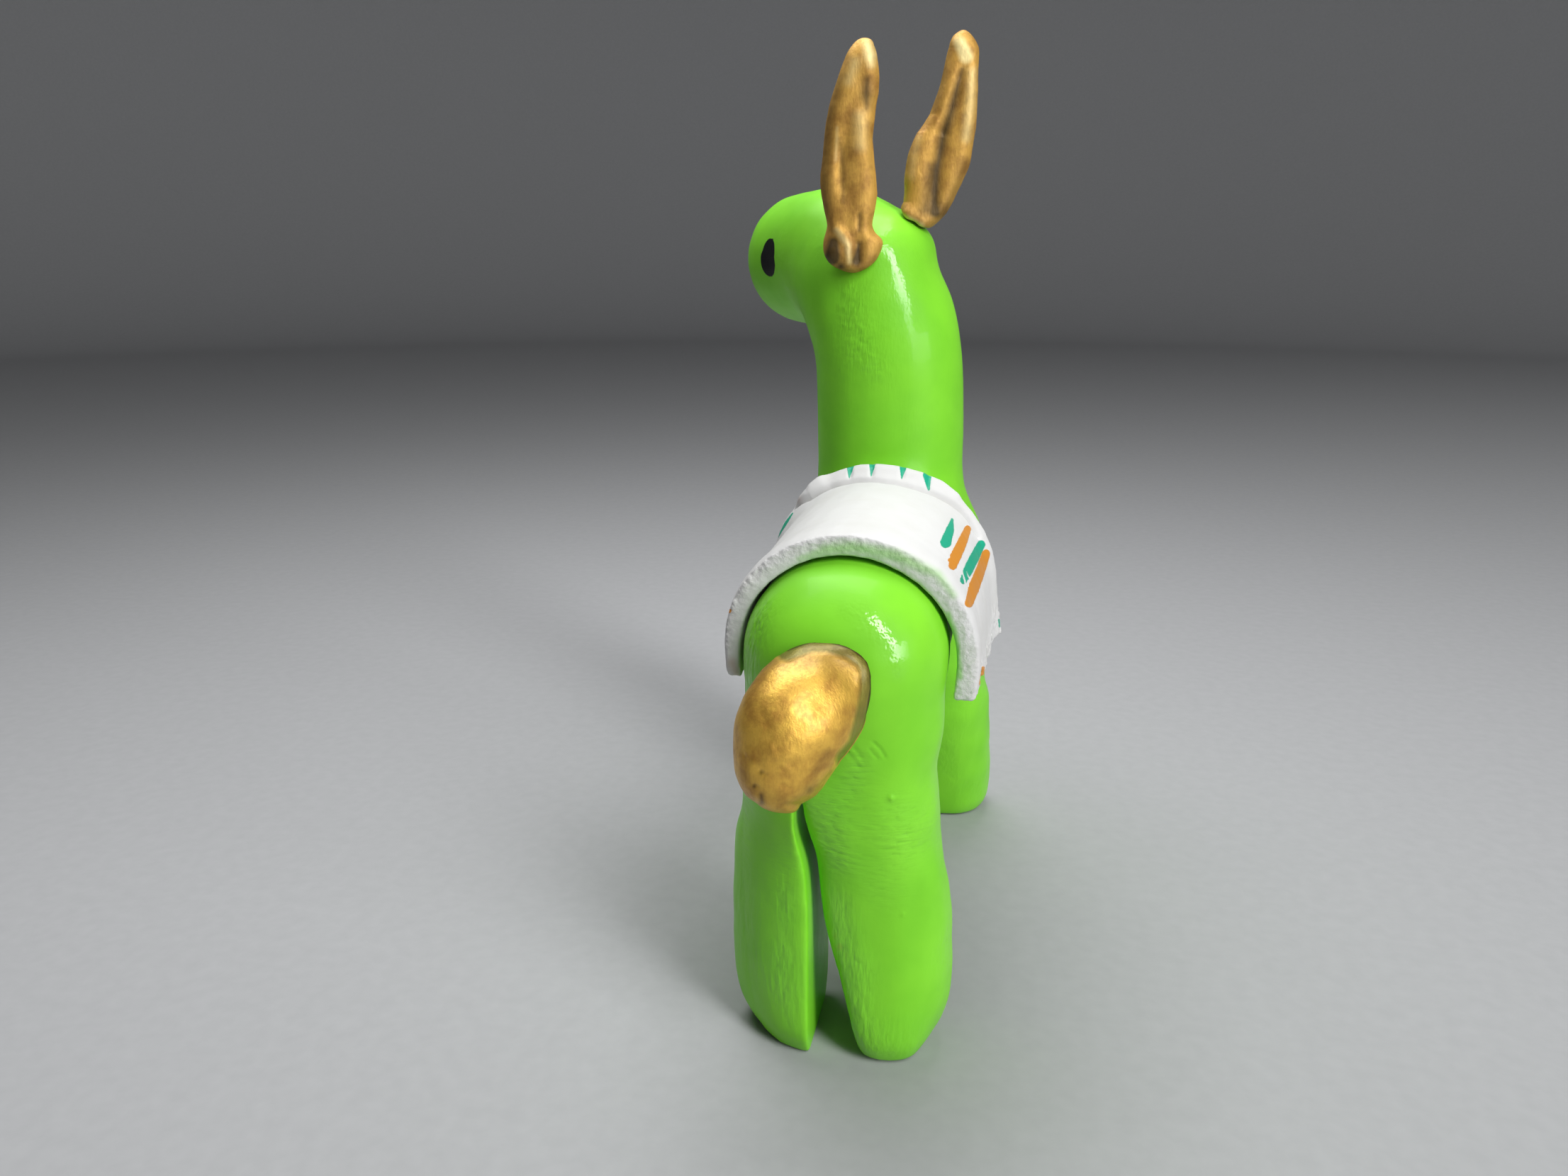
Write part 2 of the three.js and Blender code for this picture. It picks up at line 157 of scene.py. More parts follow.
def sharp_points(mesh):
    """Points along the sharp edges of a solid."""
    solid = bmesh.new()
    solid.from_mesh(mesh)
    bmesh.ops.remove_doubles(solid, verts=solid.verts, dist=1e-6)
    found = []
    for edge in solid.edges:
        if edge.is_manifold and edge.calc_face_angle() > EDGE_ANGLE:
            a, b = (v.co for v in edge.verts)
            count = math.ceil((b - a).length / EDGE_STEP)
            found += [a.lerp(b, i / count) for i in range(count + 1)]
    solid.free()
    return found


def hold_edges(piece, edges, crisp, reach):
    """A vertex group that says how freely each corner moves: little at an edge, fully beyond the reach."""
    near = KDTree(len(edges))
    for i, point in enumerate(edges):
        near.insert(point, i)
    near.balance()
    away = np.array([near.find(corner.co)[2] for corner in piece.data.vertices])
    freedom = 1 - crisp * (1 - np.clip(away / reach, 0, 1)) ** 2
    group = piece.vertex_groups.new(name="freedom")
    levels = np.round(freedom * FREEDOMS).astype(int)
    for level in range(1, FREEDOMS + 1):
        group.add(np.nonzero(levels == level)[0].tolist(), level / FREEDOMS, "REPLACE")
    return group.name


print("points on the blanket's sharp edges:", len(sharp_points(frame["nodes"]["blanket"].data)))

# %% Fine skins
MELT = 0.8  # how far a corner moves in one round, from its place to the mean of its neighbours


def fine_skin(node, name, cell, rounds, crisp=0.0, reach=1.5, crisp_from=-99.0, crisp_lean=0.0):
    """A piece in the form of a solid, with an even skin. Cell, reach and the least x of a crisp edge are in
    millimetres, and that least x leans with the height."""
    piece = bpy.data.objects.new(name, frame["nodes"][node].data.copy())
    scene.collection.objects.link(piece)
    remesh = piece.modifiers.new("even skin", "REMESH")
    remesh.mode = "VOXEL"
    remesh.voxel_size = cell * MM
    remesh.use_smooth_shade = True
    settled(piece)
    smooth = piece.modifiers.new("melt the flats", "SMOOTH")
    smooth.factor = MELT
    smooth.iterations = rounds
    if crisp:
        edges = sharp_points(frame["nodes"][node].data)
        edges = [e for e in edges if e.x > crisp_from * MM + crisp_lean * e.z]
        smooth.vertex_group = hold_edges(piece, edges, crisp, reach * MM)
    settled(piece)
    piece.vertex_groups.clear()
    piece.data.materials.clear()
    print(name, len(piece.data.polygons), "faces")
    return piece


body = fine_skin("body", "painted_body", cell=0.2, rounds=80, crisp=0.93, reach=2.2, crisp_from=-5.2, crisp_lean=0.12)
blanket = fine_skin("blanket", "clay_blanket", cell=0.18, rounds=50, crisp=0.75, reach=0.8)
tail = fine_skin("tail", "gold_tail", cell=0.15, rounds=60)
ear_left = fine_skin("ear_left", "gold_ear_left", cell=0.12, rounds=90)
ear_right = fine_skin("ear_right", "gold_ear_right", cell=0.12, rounds=90)

# %% [markdown]
# Clay is worked with a few tools, and each is a function over all corners at once. A press follows a path with a
# rounded tip, and a negative depth pulls clay up instead of pushing it in. Noise gives what fingers and a brush
# leave: its scale along each axis makes it a lump, a level stroke or an upright one. All of it is in millimetres.


# %% Reading and moving corners
def corners_of(piece):
    flat = np.empty(len(piece.data.vertices) * 3, np.float32)
    piece.data.vertices.foreach_get("co", flat)
    return flat.reshape(-1, 3).astype(float) / MM


def facings_of(piece):
    flat = np.empty(len(piece.data.vertices) * 3, np.float32)
    piece.data.vertex_normals.foreach_get("vector", flat)
    return flat.reshape(-1, 3).astype(float)


def place_corners(piece, corners):
    piece.data.vertices.foreach_set("co", (corners * MM).astype(np.float32).ravel())
    piece.data.update()


def raise_by(piece, height):
    """Moves every corner along its own facing, by so many millimetres."""
    place_corners(piece, corners_of(piece) + facings_of(piece) * height[:, None])


def keep(piece, name, values):
    """Stores a number for each corner, which a material can read by its name."""
    layer = piece.data.attributes.new(name, "FLOAT", "POINT")
    layer.data.foreach_set("value", values.astype(np.float32))


def nudge(piece, pushes, share):
    """Pushes are (x, y, pixels to the right, reach across, reach down): the piece gives way across the view."""
    corners = corners_of(piece)
    pixels, pixel_wide, _ = in_photo(corners, corners)
    aside = np.zeros(len(corners))
    for x, y, push, across, down in pushes:
        aside += push * np.exp(-(((pixels[:, 0] - x) / across) ** 2) - ((pixels[:, 1] - y) / down) ** 2)
    corners += np.outer(aside * share * pixel_wide, np.array(camera.matrix_world.to_3x3())[:, 0])
    place_corners(piece, corners)
    print(piece.name, "nudged by up to mm", round(float(np.abs(aside * share * pixel_wide).max()), 1))


print("corners of the body:", len(corners_of(body)))

# %% Paths, presses and noise
CREASE_POWER = 8  # a higher one makes thinner lines


def away_from(path, points, radii=None):
    """Each point's distance to a row of points joined by lines, less the line's own radius there, and how far along
    the row it lies from 0 to 1."""
    radii = radii or [0] * len(path)
    if len(path) == 1:
        path, radii = path * 2, radii * 2
    best = np.full(len(points), np.inf)
    along = np.zeros(len(points))
    for i in range(len(path) - 1):
        line = path[i + 1] - path[i]
        share = np.clip((points - path[i]) @ line / max(line @ line, 1e-9), 0, 1)
        gap = np.linalg.norm(points - path[i] - share[:, None] * line, axis=1)
        gap -= radii[i] + share * (radii[i + 1] - radii[i])
        closer = gap < best
        best[closer] = gap[closer]
        along[closer] = (i + share[closer]) / (len(path) - 1)
    return best, along


def step(values, low, high):
    """0 below the low value, 1 above the high one and smooth between."""
    share = np.clip((values - low) / (high - low), 0, 1)
    return share * share * (3 - 2 * share)


def touched(points, tree, marks):
    """Marks are (width, strength, pixels): a rounded stroke on the pixels, fading at both ends of a long one."""
    total = np.zeros(len(points))
    for wide, strength, pixels in marks:
        path = spots(pixels, tree)
        away, along = away_from(path, points)
        length = sum(np.linalg.norm(b - a) for a, b in zip(path, path[1:]))
        fade = step(np.minimum(along, 1 - along) * length, -wide, 1.5 * wide) if length > 4 * wide else 1
        total += strength * fade * np.exp(-((away / wide) ** 2))
    return total


def brushed(piece, marks):
    """Marks are (strength, softness, row of (x, y, half width)), in pixels of the photograph, on the side it shows."""
    pixels, _, seen = in_photo(corners_of(piece), facings_of(piece))
    total = np.zeros(len(pixels))
    for strength, soft, row in marks:
        path = [np.array(mark[:2], float) for mark in row]
        outside, _ = away_from(path, pixels, [mark[2] for mark in row])
        total += strength * seen * (1 - step(outside, -soft, soft))
    return total


def ripple(points, waves, seed):
    """Noise from -1 to 1, with its waves per millimetre along each axis."""
    return np.array([noise.noise(p) for p in (points * waves + seed).tolist()])


def creases(points, waves, seed):
    """0 to 1: thin lines where noise passes through nothing, as wrinkles in a drying skin."""
    return (1 - np.abs(ripple(points, waves, seed))) ** CREASE_POWER


print("a smooth step, a quarter and half of the way up:", step(np.array([0.25, 0.5]), 0, 1))


# %% Hollows and triangles
def hollows(piece, rounds):
    """How deep each corner lies below the mean of its surroundings, in millimetres."""
    copy = bpy.data.objects.new("copy", piece.data)
    scene.collection.objects.link(copy)
    smooth = copy.modifiers.new("mean", "SMOOTH")
    smooth.factor = MELT
    smooth.iterations = rounds
    mean = copy.evaluated_get(bpy.context.evaluated_depsgraph_get()).to_mesh()
    flat = np.empty(len(mean.vertices) * 3, np.float32)
    mean.vertices.foreach_get("co", flat)
    bpy.data.objects.remove(copy)
    return ((flat.reshape(-1, 3) / MM - corners_of(piece)) * facings_of(piece)).sum(1)


def lighten(piece, triangles):
    """Merges triangles where the skin is plain, and leaves them small where there is relief."""
    thin = piece.modifiers.new("fewer triangles", "DECIMATE")
    thin.ratio = min(1, triangles / (2 * len(piece.data.polygons)))
    settled(piece)
    piece.data.calc_loop_triangles()
    print(piece.name, len(piece.data.loop_triangles), "triangles")


print("deepest hollow of the blanket, mm:", round(float(hollows(blanket, rounds=8).max()), 2))

# %% [markdown]
# A blade parted the hind legs. It left a crisp edge on the left leg, whose face falls back from it to the left, and it
# dragged the clay of the right leg along into a wide rounded edge. Bevelled edges would be too even, so each corner
# moves by a smooth rule of how far it lies from the cut.

# %% Legs rounded beside the cut
CUT_RIGHT, CUT_RIGHT_LEAN = -7.6, 0.21  # x of the right hind leg's edge at the floor, and its lean, mm
CUT_LEFT, CUT_LEFT_LEAN = -2.4, 0.035
HIND_LEGS = 22, 31  # y from which the hind legs begin, to where they are whole
CUT_ENDS = 26, 34  # height
DRAG_WIDE, DRAG_WIDER = 2.6, 2.4  # the rounded edge at the foot, and how much wider it gets
DRAG_DEEP = 0.36  # as a share of its width
SLOPE, STEEPER = 0.28, 0.14  # how the left leg's face falls back at the foot, and how much more above

corners = corners_of(body)
x, y, z = corners.T
hind = step(y, *HIND_LEGS) * (1 - step(z, *CUT_ENDS))
from_right_edge = CUT_RIGHT + CUT_RIGHT_LEAN * z - x
from_left_edge = x - CUT_LEFT - CUT_LEFT_LEAN * z
on_right = from_right_edge + 0.1 > from_left_edge
band = DRAG_WIDE + DRAG_WIDER * step(z, 6, 24)
right_leg = np.clip(1 - from_right_edge / band, 0, 1.2) ** 2 * on_right
outwards = np.clip(from_left_edge, 0, 7)
left_leg = (outwards - 1 + np.exp(-outwards)) * ~on_right
corners[:, 1] -= hind * (DRAG_DEEP * band * right_leg + (SLOPE + STEEPER * step(z, 12, 26)) * left_leg)
swell = 0.4 + 0.8 * np.exp(-(((z - 16) / 6) ** 2))  # the dragged clay closes the cut, most of all at 16 mm
corners[:, 0] += hind * right_leg * swell * (1 - step(z, 20, 28))
place_corners(body, corners)
print("leg corners moved:", int((hind * (right_leg + left_leg) > 0.1).sum()))

# %% [markdown]
# A rolled leg swells and narrows where fingers held it. The solid follows that only roughly, so the outline is mended
# here: where the skin lies outside or inside the outline in the photograph, it is pushed across the view, and the push
# fades away on all sides like a bell. A lattice could do the same, but would need a cage of points for each swell.

# %% Outline of legs and neck
HIND_PART = 14, 22  # y from which the hind part begins, to where it is whole
FRONT_PART = -4, 4
LEG_PUSHES = [
    (1340, 1200, -12, 70, 45),
    (1340, 1115, -13, 70, 50),
    (1340, 965, -8, 60, 90),
    (1138, 1165, -11, 22, 42),
    (1040, 1200, -5, 40, 110),
    (1040, 1450, 12, 55, 65),
    (1332, 1475, -17, 45, 55),
]
NECK_PUSHES = [(1258, 575, 5, 160, 90), (1332, 378, -12, 45, 38)]

nudge(body, LEG_PUSHES, step(corners[:, 1], *HIND_PART))
nudge(body, NECK_PUSHES, 1 - step(corners[:, 1], *FRONT_PART))

# %% [markdown]
# The body was stroked with a brush while the paint dried. The strokes run level round the top of the legs, upright
# down the feet and flanks, and hardly show on the rump and the head, which a thumb smoothed. The left sides are as
# wrinkled as the right, so the same rules hold all round, and a few paths add what shows in the photograph.

# %% Where the body is wrinkled
WRINKLES_LEVEL = [
    (2.0, 1.0, [(1160, 1140), (1170, 1175), (1185, 1212)]),
    (1.4, 0.9, [(1222, 1062), (1205, 1095), (1190, 1128)]),
    (2.4, 0.5, [(1270, 1150), (1262, 1200), (1248, 1250)]),
]
WRINKLES_UPRIGHT = [
    (1.7, 1.0, [(1180, 1250), (1188, 1300), (1196, 1350), (1206, 1410), (1224, 1462), (1246, 1480)]),
    (1.3, 0.45, [(1112, 1240), (1106, 1300), (1102, 1360), (1108, 1420), (1122, 1456)]),
    (2.4, 1.2, [(1050, 985), (1056, 930), (1068, 880)]),
]
WRINKLES_NAPE = [(1.9, 1.0, [(1194, 395), (1203, 452), (1214, 499), (1248, 530)])]
WRINKLE_PATCHES = 0.16  # per mm
LEGS_END, FEET_END, NECK_BEGINS, NECK_ENDS = (26, 36), (14, 25), (56, 62), (82, 88)  # heights
SCATTERED, SCATTERED_NAPE = 0.4, 0.25  # strength of what lies outside the paths

body_tree = tree_of(body)
corners = corners_of(body)
height = corners[:, 2]
patches = step(ripple(corners, WRINKLE_PATCHES, 4), -0.35, 0.4)
on_legs = 1 - step(height, *LEGS_END)
on_feet = 1 - step(height, *FEET_END)
on_neck = step(height, *NECK_BEGINS) * (1 - step(height, *NECK_ENDS))
level = np.clip(touched(corners, body_tree, WRINKLES_LEVEL) + SCATTERED * patches * (on_legs - on_feet), 0, 1)
upright = np.clip(touched(corners, body_tree, WRINKLES_UPRIGHT) + SCATTERED * patches * on_feet, 0, 1)
nape = np.clip(touched(corners, body_tree, WRINKLES_NAPE) + SCATTERED_NAPE * patches * on_neck, 0, 1)
print("wrinkled corners:", int((np.maximum(np.maximum(level, upright), nape) > 0.5).sum()))

# %% Body relief
BUMPS = [
    (0.28, 0.22, [(1257, 1126)]),
    (0.22, 0.10, [(1274, 1290)]),
    (0.14, 0.07, [(1329, 1330)]),
    (0.10, 0.05, [(1208, 887)]),
    (0.16, -0.08, [(1231, 1046), (1243, 1058), (1250, 1070)]),
    (0.14, -0.07, [(1226, 1056), (1240, 1072)]),
    (0.30, -0.06, [(1195, 1060), (1215, 1088)]),
    (0.25, -0.06, [(1203, 1052), (1222, 1080)]),
]
LUMP, DENT = 9.0, 2.6  # mm from one to the next
WRINKLES = [  # where, what, height in mm, waves per mm along x, y and z, seed
    (level, creases, -0.07, (0.55, 0.55, 2.2), 11),
    (level, ripple, 0.065, (0.7, 0.7, 2.9), 12),
    (upright, creases, -0.08, (1.5, 1.5, 0.35), 13),
    (upright, ripple, 0.06, (2.2, 2.2, 0.5), 14),
    (nape, ripple, 0.07, (1.1, 1.1, 2.0), 15),
    (nape, ripple, 0.03, (2.2, 2.2, 2.2), 16),
]
SOLES = 0.05, 1.2  # height below which the soles stay flat on the table

relief = 0.035 * ripple(corners, 1 / LUMP, 1) + 0.015 * ripple(corners, 1 / DENT, 2)
relief += touched(corners, body_tree, BUMPS)
for where, noise_kind, high, waves, seed in WRINKLES:
    relief += high * where * noise_kind(corners, np.array(waves), seed)
relief *= step(height, *SOLES)
raise_by(body, relief)
print("relief, mm:", round(float(relief.min()), 2), "to", round(float(relief.max()), 2))

# %% [markdown]
# The eye is a dab of black paint, so it is no shape at all, only a distance: each corner stores how far it lies
# outside the dab, and the paint changes where that passes zero. The edge stays crisp between corners this way. The
# photograph shows one eye, and the other is its mirror image in the plane of the head. In the same way corners store
# where the green is worn and where it was dabbed on thickly, which is where it shines.

# %% Eyes and worn paint
EYE = [(1084, 357), (1083, 366)]
EYE_RADII = [1.95, 2.35]
HEAD_PLACE = np.array([-2.04, -18.41, 81.5])
HEAD_TURN = math.radians(38)
HEAD_ACROSS = np.array([math.cos(HEAD_TURN), math.sin(HEAD_TURN), 0])
WORN = [
    (0.9, 6, [(1182, 1320, 3), (1188, 1350, 3)]),
    (0.5, 5, [(1178, 1290, 2)]),
    (0.6, 3, [(1159, 1186, 1)]),
]
DABBED = [
    (0.55, 16, [(1190, 860, 6), (1222, 868, 14), (1243, 888, 18), (1259, 908, 10), (1267, 952, 2)]),
    (0.4, 22, [(1252, 335, 6), (1262, 365, 14), (1286, 407, 12), (1292, 430, 4)]),
]

corners = corners_of(body)
eye = spots(EYE, body_tree)
other_eye = [e - 2 * ((e - HEAD_PLACE) @ HEAD_ACROSS) * HEAD_ACROSS for e in eye]
keep(body, "eye", np.minimum(*(away_from(e, corners, EYE_RADII)[0] for e in (eye, other_eye))))
keep(body, "worn", brushed(body, WORN))
keep(body, "dabbed", brushed(body, DABBED))
keep(body, "level", level)
keep(body, "upright", np.maximum(upright, nape))
# how deep each corner lies; the green paint uses it to darken the hollows as painted shade
keep(body, "hollow", hollows(body, rounds=12))
lighten(body, triangles=186_000)
print("eyes, mm:", eye[0].round(1), other_eye[0].round(1))

# %% [markdown]
# The blanket was cut from a slab, so its upper face is smooth and its cut faces are torn and chalky, most of all
# along their outer edge. Its front border is turned up like a cuff with a crease behind it, and its left end is a
# rounded flap. The cuff is pressed with paths first, and the torn faces are roughened after it.

# %% Cuff of the blanket
LIP_CREASE = [
    (1116, 716), (1142, 701), (1169, 685), (1210, 675), (1250, 677), (1290, 685), (1331, 700), (1358, 718),
    (1372, 735), (1384, 760),
]
LIP_CREST = [(1130, 688), (1165, 670), (1210, 660), (1250, 660), (1290, 668), (1331, 684), (1362, 704)]
LIP_FLAP = [(1126, 700), (1134, 688), (1150, 677)]
LIP_NOTCHES = [
    (0.3, -0.22, [(1201, 655), (1198, 672)]),
    (0.3, -0.22, [(1231, 653), (1229, 670)]),
    (0.3, -0.22, [(1274, 657), (1272, 673)]),
    (0.3, -0.22, [(1309, 670), (1310, 688)]),
]
LIP = [(0.4, -0.6, LIP_CREASE), (1.4, -0.25, LIP_CREASE), (0.8, 0.3, LIP_CREST), (1.2, 0.5, LIP_FLAP)]

blanket_tree = tree_of(blanket)
raise_by(blanket, touched(corners_of(blanket), blanket_tree, LIP + LIP_NOTCHES))
print("presses along the cuff:", len(LIP + LIP_NOTCHES))

# %% Torn faces of the blanket
NEAR_END = 23.5, 25.5  # y
LOW_EDGES = 39.5, 42.5  # height
OUTER_EDGE = 0.9, 1.9  # away from the body

corners = corners_of(blanket)
facings = facings_of(blanket)
gap = np.array([body_tree.find_nearest(Vector(c) * MM)[3] for c in corners]) / MM
near_end = step(facings[:, 1], 0.3, 0.75) * step(corners[:, 1], *NEAR_END)
outer_edge = step(gap, *OUTER_EDGE)
low_edges = 1 - step(corners[:, 2], *LOW_EDGES)
torn = np.maximum(near_end * (0.35 + 0.65 * outer_edge), low_edges)
relief = 0.03 * ripple(corners, 0.35, 31) + 0.010 * ripple(corners, 1.1, 32)
relief += torn * (0.10 * ripple(corners, 0.9, 33) + 0.09 * ripple(corners, 2.3, 34))
relief -= torn * 0.07 * creases(corners, np.array([1.0, 1.0, 1.8]), 35)
raise_by(blanket, relief)
print("torn corners:", int((torn > 0.5).sum()), "least gap, mm:", round(float(gap.min()), 2))

# %% [markdown]
# The dabs on the blanket are single touches of a small brush. Each is a row of pixels with a half width. The left
# side, of which the photograph shows only an edge, has the large dabs of the right side mirrored and set a little
# lower, so that it is in keeping.

# %% Dabs of paint
TEAL = [
    [(1200, 654, 6), (1198, 674, 1)],
    [(1231, 653, 5), (1229, 671, 1)],
    [(1274, 658, 5), (1272, 675, 1)],
    [(1308, 670, 6), (1310, 690, 2)],
    [(1343, 733, 2), (1340, 748, 6), (1334, 765, 8)],
    [(1384, 768, 6), (1375, 786, 7), (1366, 804, 7), (1359, 819, 5)],
    [(1118, 724, 1), (1110, 736, 2), (1097, 758, 1)],
    [(1401, 918, 1), (1405, 934, 4)],
    [(1409, 874, 1), (1410, 884, 1)],
]
ORANGE = [
    [(1365, 746, 5), (1357, 766, 7), (1348, 785, 8), (1344, 798, 6)],
    [(1340, 790, 3)],
    [(1391, 781, 6), (1384, 802, 7), (1375, 826, 8), (1367, 851, 6)],
    [(1084, 763, 2), (1067, 791, 2)],
    [(1029, 862, 3)],
    [(1387, 942, 2), (1384, 966, 3)],
    [(1410, 897, 2)],
]
SCRATCHES = [[(1358, 808, 1), (1362, 824, 1)], [(1363, 805, 0.5), (1367, 815, 0.5)]]
MIRRORED_FROM_X, MIRRORED_TO_X = 1330, 1395
MIRRORED_RADIUS = 0.5
MIRRORED_DROP = 4.0
BLANKET_MIDDLE = -4.9
OUTWARDS = 4  # so that the nearest face is the outer one
FAR = 9.0  # a distance that no paint reaches
UNSTEADY = 0.05

blanket_tree = tree_of(blanket)
corners = corners_of(blanket)
blanket_pixels, pixel_wide, seen = in_photo(corners, facings_of(blanket))


def dabs(rows):
    """Each corner's distance outside the nearest dab, with a brush's unsteady edge."""
    outside = np.full(len(corners), FAR)
    for row in rows:
        path = [np.array(mark[:2], float) for mark in row]
        in_pixels, _ = away_from(path, blanket_pixels, [mark[2] for mark in row])
        outside = np.minimum(outside, np.where(seen, in_pixels * pixel_wide, FAR))
        if len(row) > 2 and MIRRORED_FROM_X < row[0][0] < MIRRORED_TO_X:
            path = [spot(x, y, blanket_tree) * (-1, 1, 1) for x, y, _ in row]
            path = [p + (2 * BLANKET_MIDDLE + OUTWARDS, 0, -MIRRORED_DROP) for p in path]
            path = [np.array(blanket_tree.find_nearest(Vector(p) * MM)[0]) / MM for p in path]
            outside = np.minimum(outside, away_from(path, corners, [MIRRORED_RADIUS] * len(path))[0])
    return outside + UNSTEADY * ripple(corners, 1.6, 41)


scratch = dabs(SCRATCHES)
keep(blanket, "teal", np.maximum(dabs(TEAL), -scratch))
keep(blanket, "orange", dabs(ORANGE))
print("painted corners:", int((dabs(TEAL) < 0).sum()), "teal")

# %% [markdown]
# Green from the body ran over the inner edge of the slab, and the green there is also a painted reflection: the light
# that the green body throws on the white clay. Handling left a few rust-brown smears. Both are soft, so each corner
# stores a share from 0 to 1 and not a distance.

# %% Green run and painted green bounce, and smears
GREEN_RUN_AND_BOUNCE_MARKS = [
    (0.9, 8, [(1128, 789, 2), (1165, 776, 7), (1204, 772, 8), (1265, 784, 8), (1323, 811, 5), (1345, 840, 3)]),
    (1.0, 3, [(1338, 866, 3), (1345, 893, 6), (1350, 925, 5), (1354, 955, 4)]),
]
SMEARS = [
    (0.5, 10, [(1033, 935, 4), (1040, 952, 3)]),
    (0.35, 8, [(1124, 704, 5)]),
    (0.4, 3, [(1390, 985, 3)]),
]

keep(blanket, "green", np.clip(brushed(blanket, GREEN_RUN_AND_BOUNCE_MARKS), 0, 1))
keep(blanket, "smear", brushed(blanket, SMEARS))
keep(blanket, "torn", torn)
keep(blanket, "hollow", hollows(blanket, rounds=8))
lighten(blanket, triangles=186_000)

# %% [markdown]
# The tail is an egg of clay pressed on while soft, and its crest lies low and to the left. A corner that slides along
# the line of sight keeps its place in the picture, so the crest is leant that way first. Then each row of the egg is
# squeezed or stretched until its two edges meet the outline in the photograph.

# %% Tail pressed to its outline
TAIL_OUTLINE = [
    (925, 1093, 1221), (938, 1079, 1228), (958, 1063, 1231), (982, 1048, 1230), (1008, 1038, 1224),
    (1030, 1034, 1217), (1052, 1034, 1204), (1074, 1035, 1187), (1092, 1037, 1176), (1108, 1043, 1165),
    (1122, 1051, 1153), (1134, 1066, 1133),
]
ROW_HALF = 3  # pixels
NOT_PINCHED = 24  # pixels below the outline in which the pinch fades
TIP_REACH = 70  # pixels below the tip in which the lift fades


def pinch(piece, outline, lift):
    """Squeezes a piece across the view until its edges meet rows of (y, left x, right x), and draws its tip up."""
    corners = corners_of(piece)
    pixels, pixel_wide, _ = in_photo(corners, corners)
    x, y = pixels.T
    rows, left, right = np.array(outline, float).T
    in_row = [np.abs(y - row) < ROW_HALF for row in rows]
    own_left = np.interp(y, rows, [x[near].min() for near in in_row])
    own_right = np.interp(y, rows, [x[near].max() for near in in_row])
    share = (x - own_left) / (own_right - own_left)
    aside = np.interp(y, rows, left) + share * (np.interp(y, rows, right) - np.interp(y, rows, left)) - x
    aside *= 1 - step(y, rows[-1], rows[-1] + NOT_PINCHED)
    up = lift * (1 - step(y, rows[0], rows[0] + TIP_REACH))
    axes = np.array(camera.matrix_world.to_3x3())
    corners += np.outer(aside * pixel_wide, axes[:, 0]) + np.outer(up * pixel_wide, axes[:, 1])
    place_corners(piece, corners)
    print(piece.name, "moved aside by up to mm", round(float(np.abs(aside * pixel_wide).max()), 1))


# %% Crest of the tail
SUNK = 0.4  # mm from the body, up to which the foot stays put
CREST_WHOLE = 4  # mm above that
LEAN_LEFT, LEAN_DOWN = 0.22, 0.14

corners = corners_of(tail)
foot = np.array([body_tree.find_nearest(Vector(c) * MM)[3] for c in corners]) / MM - SUNK
crest = LEAN_LEFT * (corners[:, 0] + 2) - LEAN_DOWN * (corners[:, 2] - 41)  # about the middle of the egg
towards = np.array(CAMERA_PLACE) / MM - corners
corners += towards / np.linalg.norm(towards, axis=1)[:, None] * (crest * step(foot, 0, CREST_WHOLE))[:, None]
place_corners(tail, corners)
pinch(tail, TAIL_OUTLINE, lift=0)

# %% [markdown]
# The egg has a flat band round its foot that ends in a soft step, small pits and finger marks low on its left, and a
# faint wave all over under the metallic paint. Smudges store where the gold is dark: real smudges and pits, a darker
# bottom, and painted shade over the top of the egg.

# %% Tail relief
TAIL_MARKS = [
    (0.2, -0.10, [(1072, 1088), (1078, 1092)]),
    (0.2, -0.10, [(1064, 1108), (1068, 1110)]),
    (0.5, -0.05, [(1084, 1040)]),
    (0.3, -0.05, [(1090, 1075)]),
    (0.25, 0.04, [(1100, 1090)]),
    (0.25, 0.06, [(1104, 1078), (1116, 1090)]),
    (0.30, 0.05, [(1088, 1056), (1094, 1070)]),
    (0.22, -0.06, [(1050, 1066)]),
    (0.25, -0.05, [(1102, 1108), (1112, 1112)]),
    (0.30, 0.05, [(1062, 1076), (1058, 1092)]),
    (0.35, -0.04, [(1076, 1010), (1082, 1024)]),
]
TAIL_SMUDGES_AND_SHADE = [
    (0.7, 5, [(1074, 1122, 2), (1075, 1132, 3)]),
    (0.4, 7, [(1142, 1114, 4)]),
    (0.6, 3, [(1074, 1090, 3)]),
    (0.6, 3, [(1064, 1109, 3)]),
    (0.3, 8, [(1168, 1062, 4), (1150, 1088, 3)]),
    # darker along the bottom of the egg
    (0.35, 16, [(1046, 1090, 4), (1072, 1122, 10), (1118, 1134, 10), (1150, 1110, 5)]),
    # painted shade: these two darken the top of the egg, which the lamps light
    (0.45, 14, [(1140, 908, 6), (1190, 914, 8), (1222, 950, 6)]),
    (0.55, 22, [(1102, 938, 8), (1140, 928, 14), (1184, 934, 14), (1214, 964, 6)]),
]
TAIL_RIM = [
    (1110, 914), (1142, 902), (1169, 902), (1201, 912), (1223, 928), (1231, 944), (1232, 971), (1226, 1010),
    (1220, 1034), (1214, 1054), (1198, 1072),
]
BAND_WIDE, BAND_DEEP, BAND_SOFT = 1.2, 0.10, 0.3

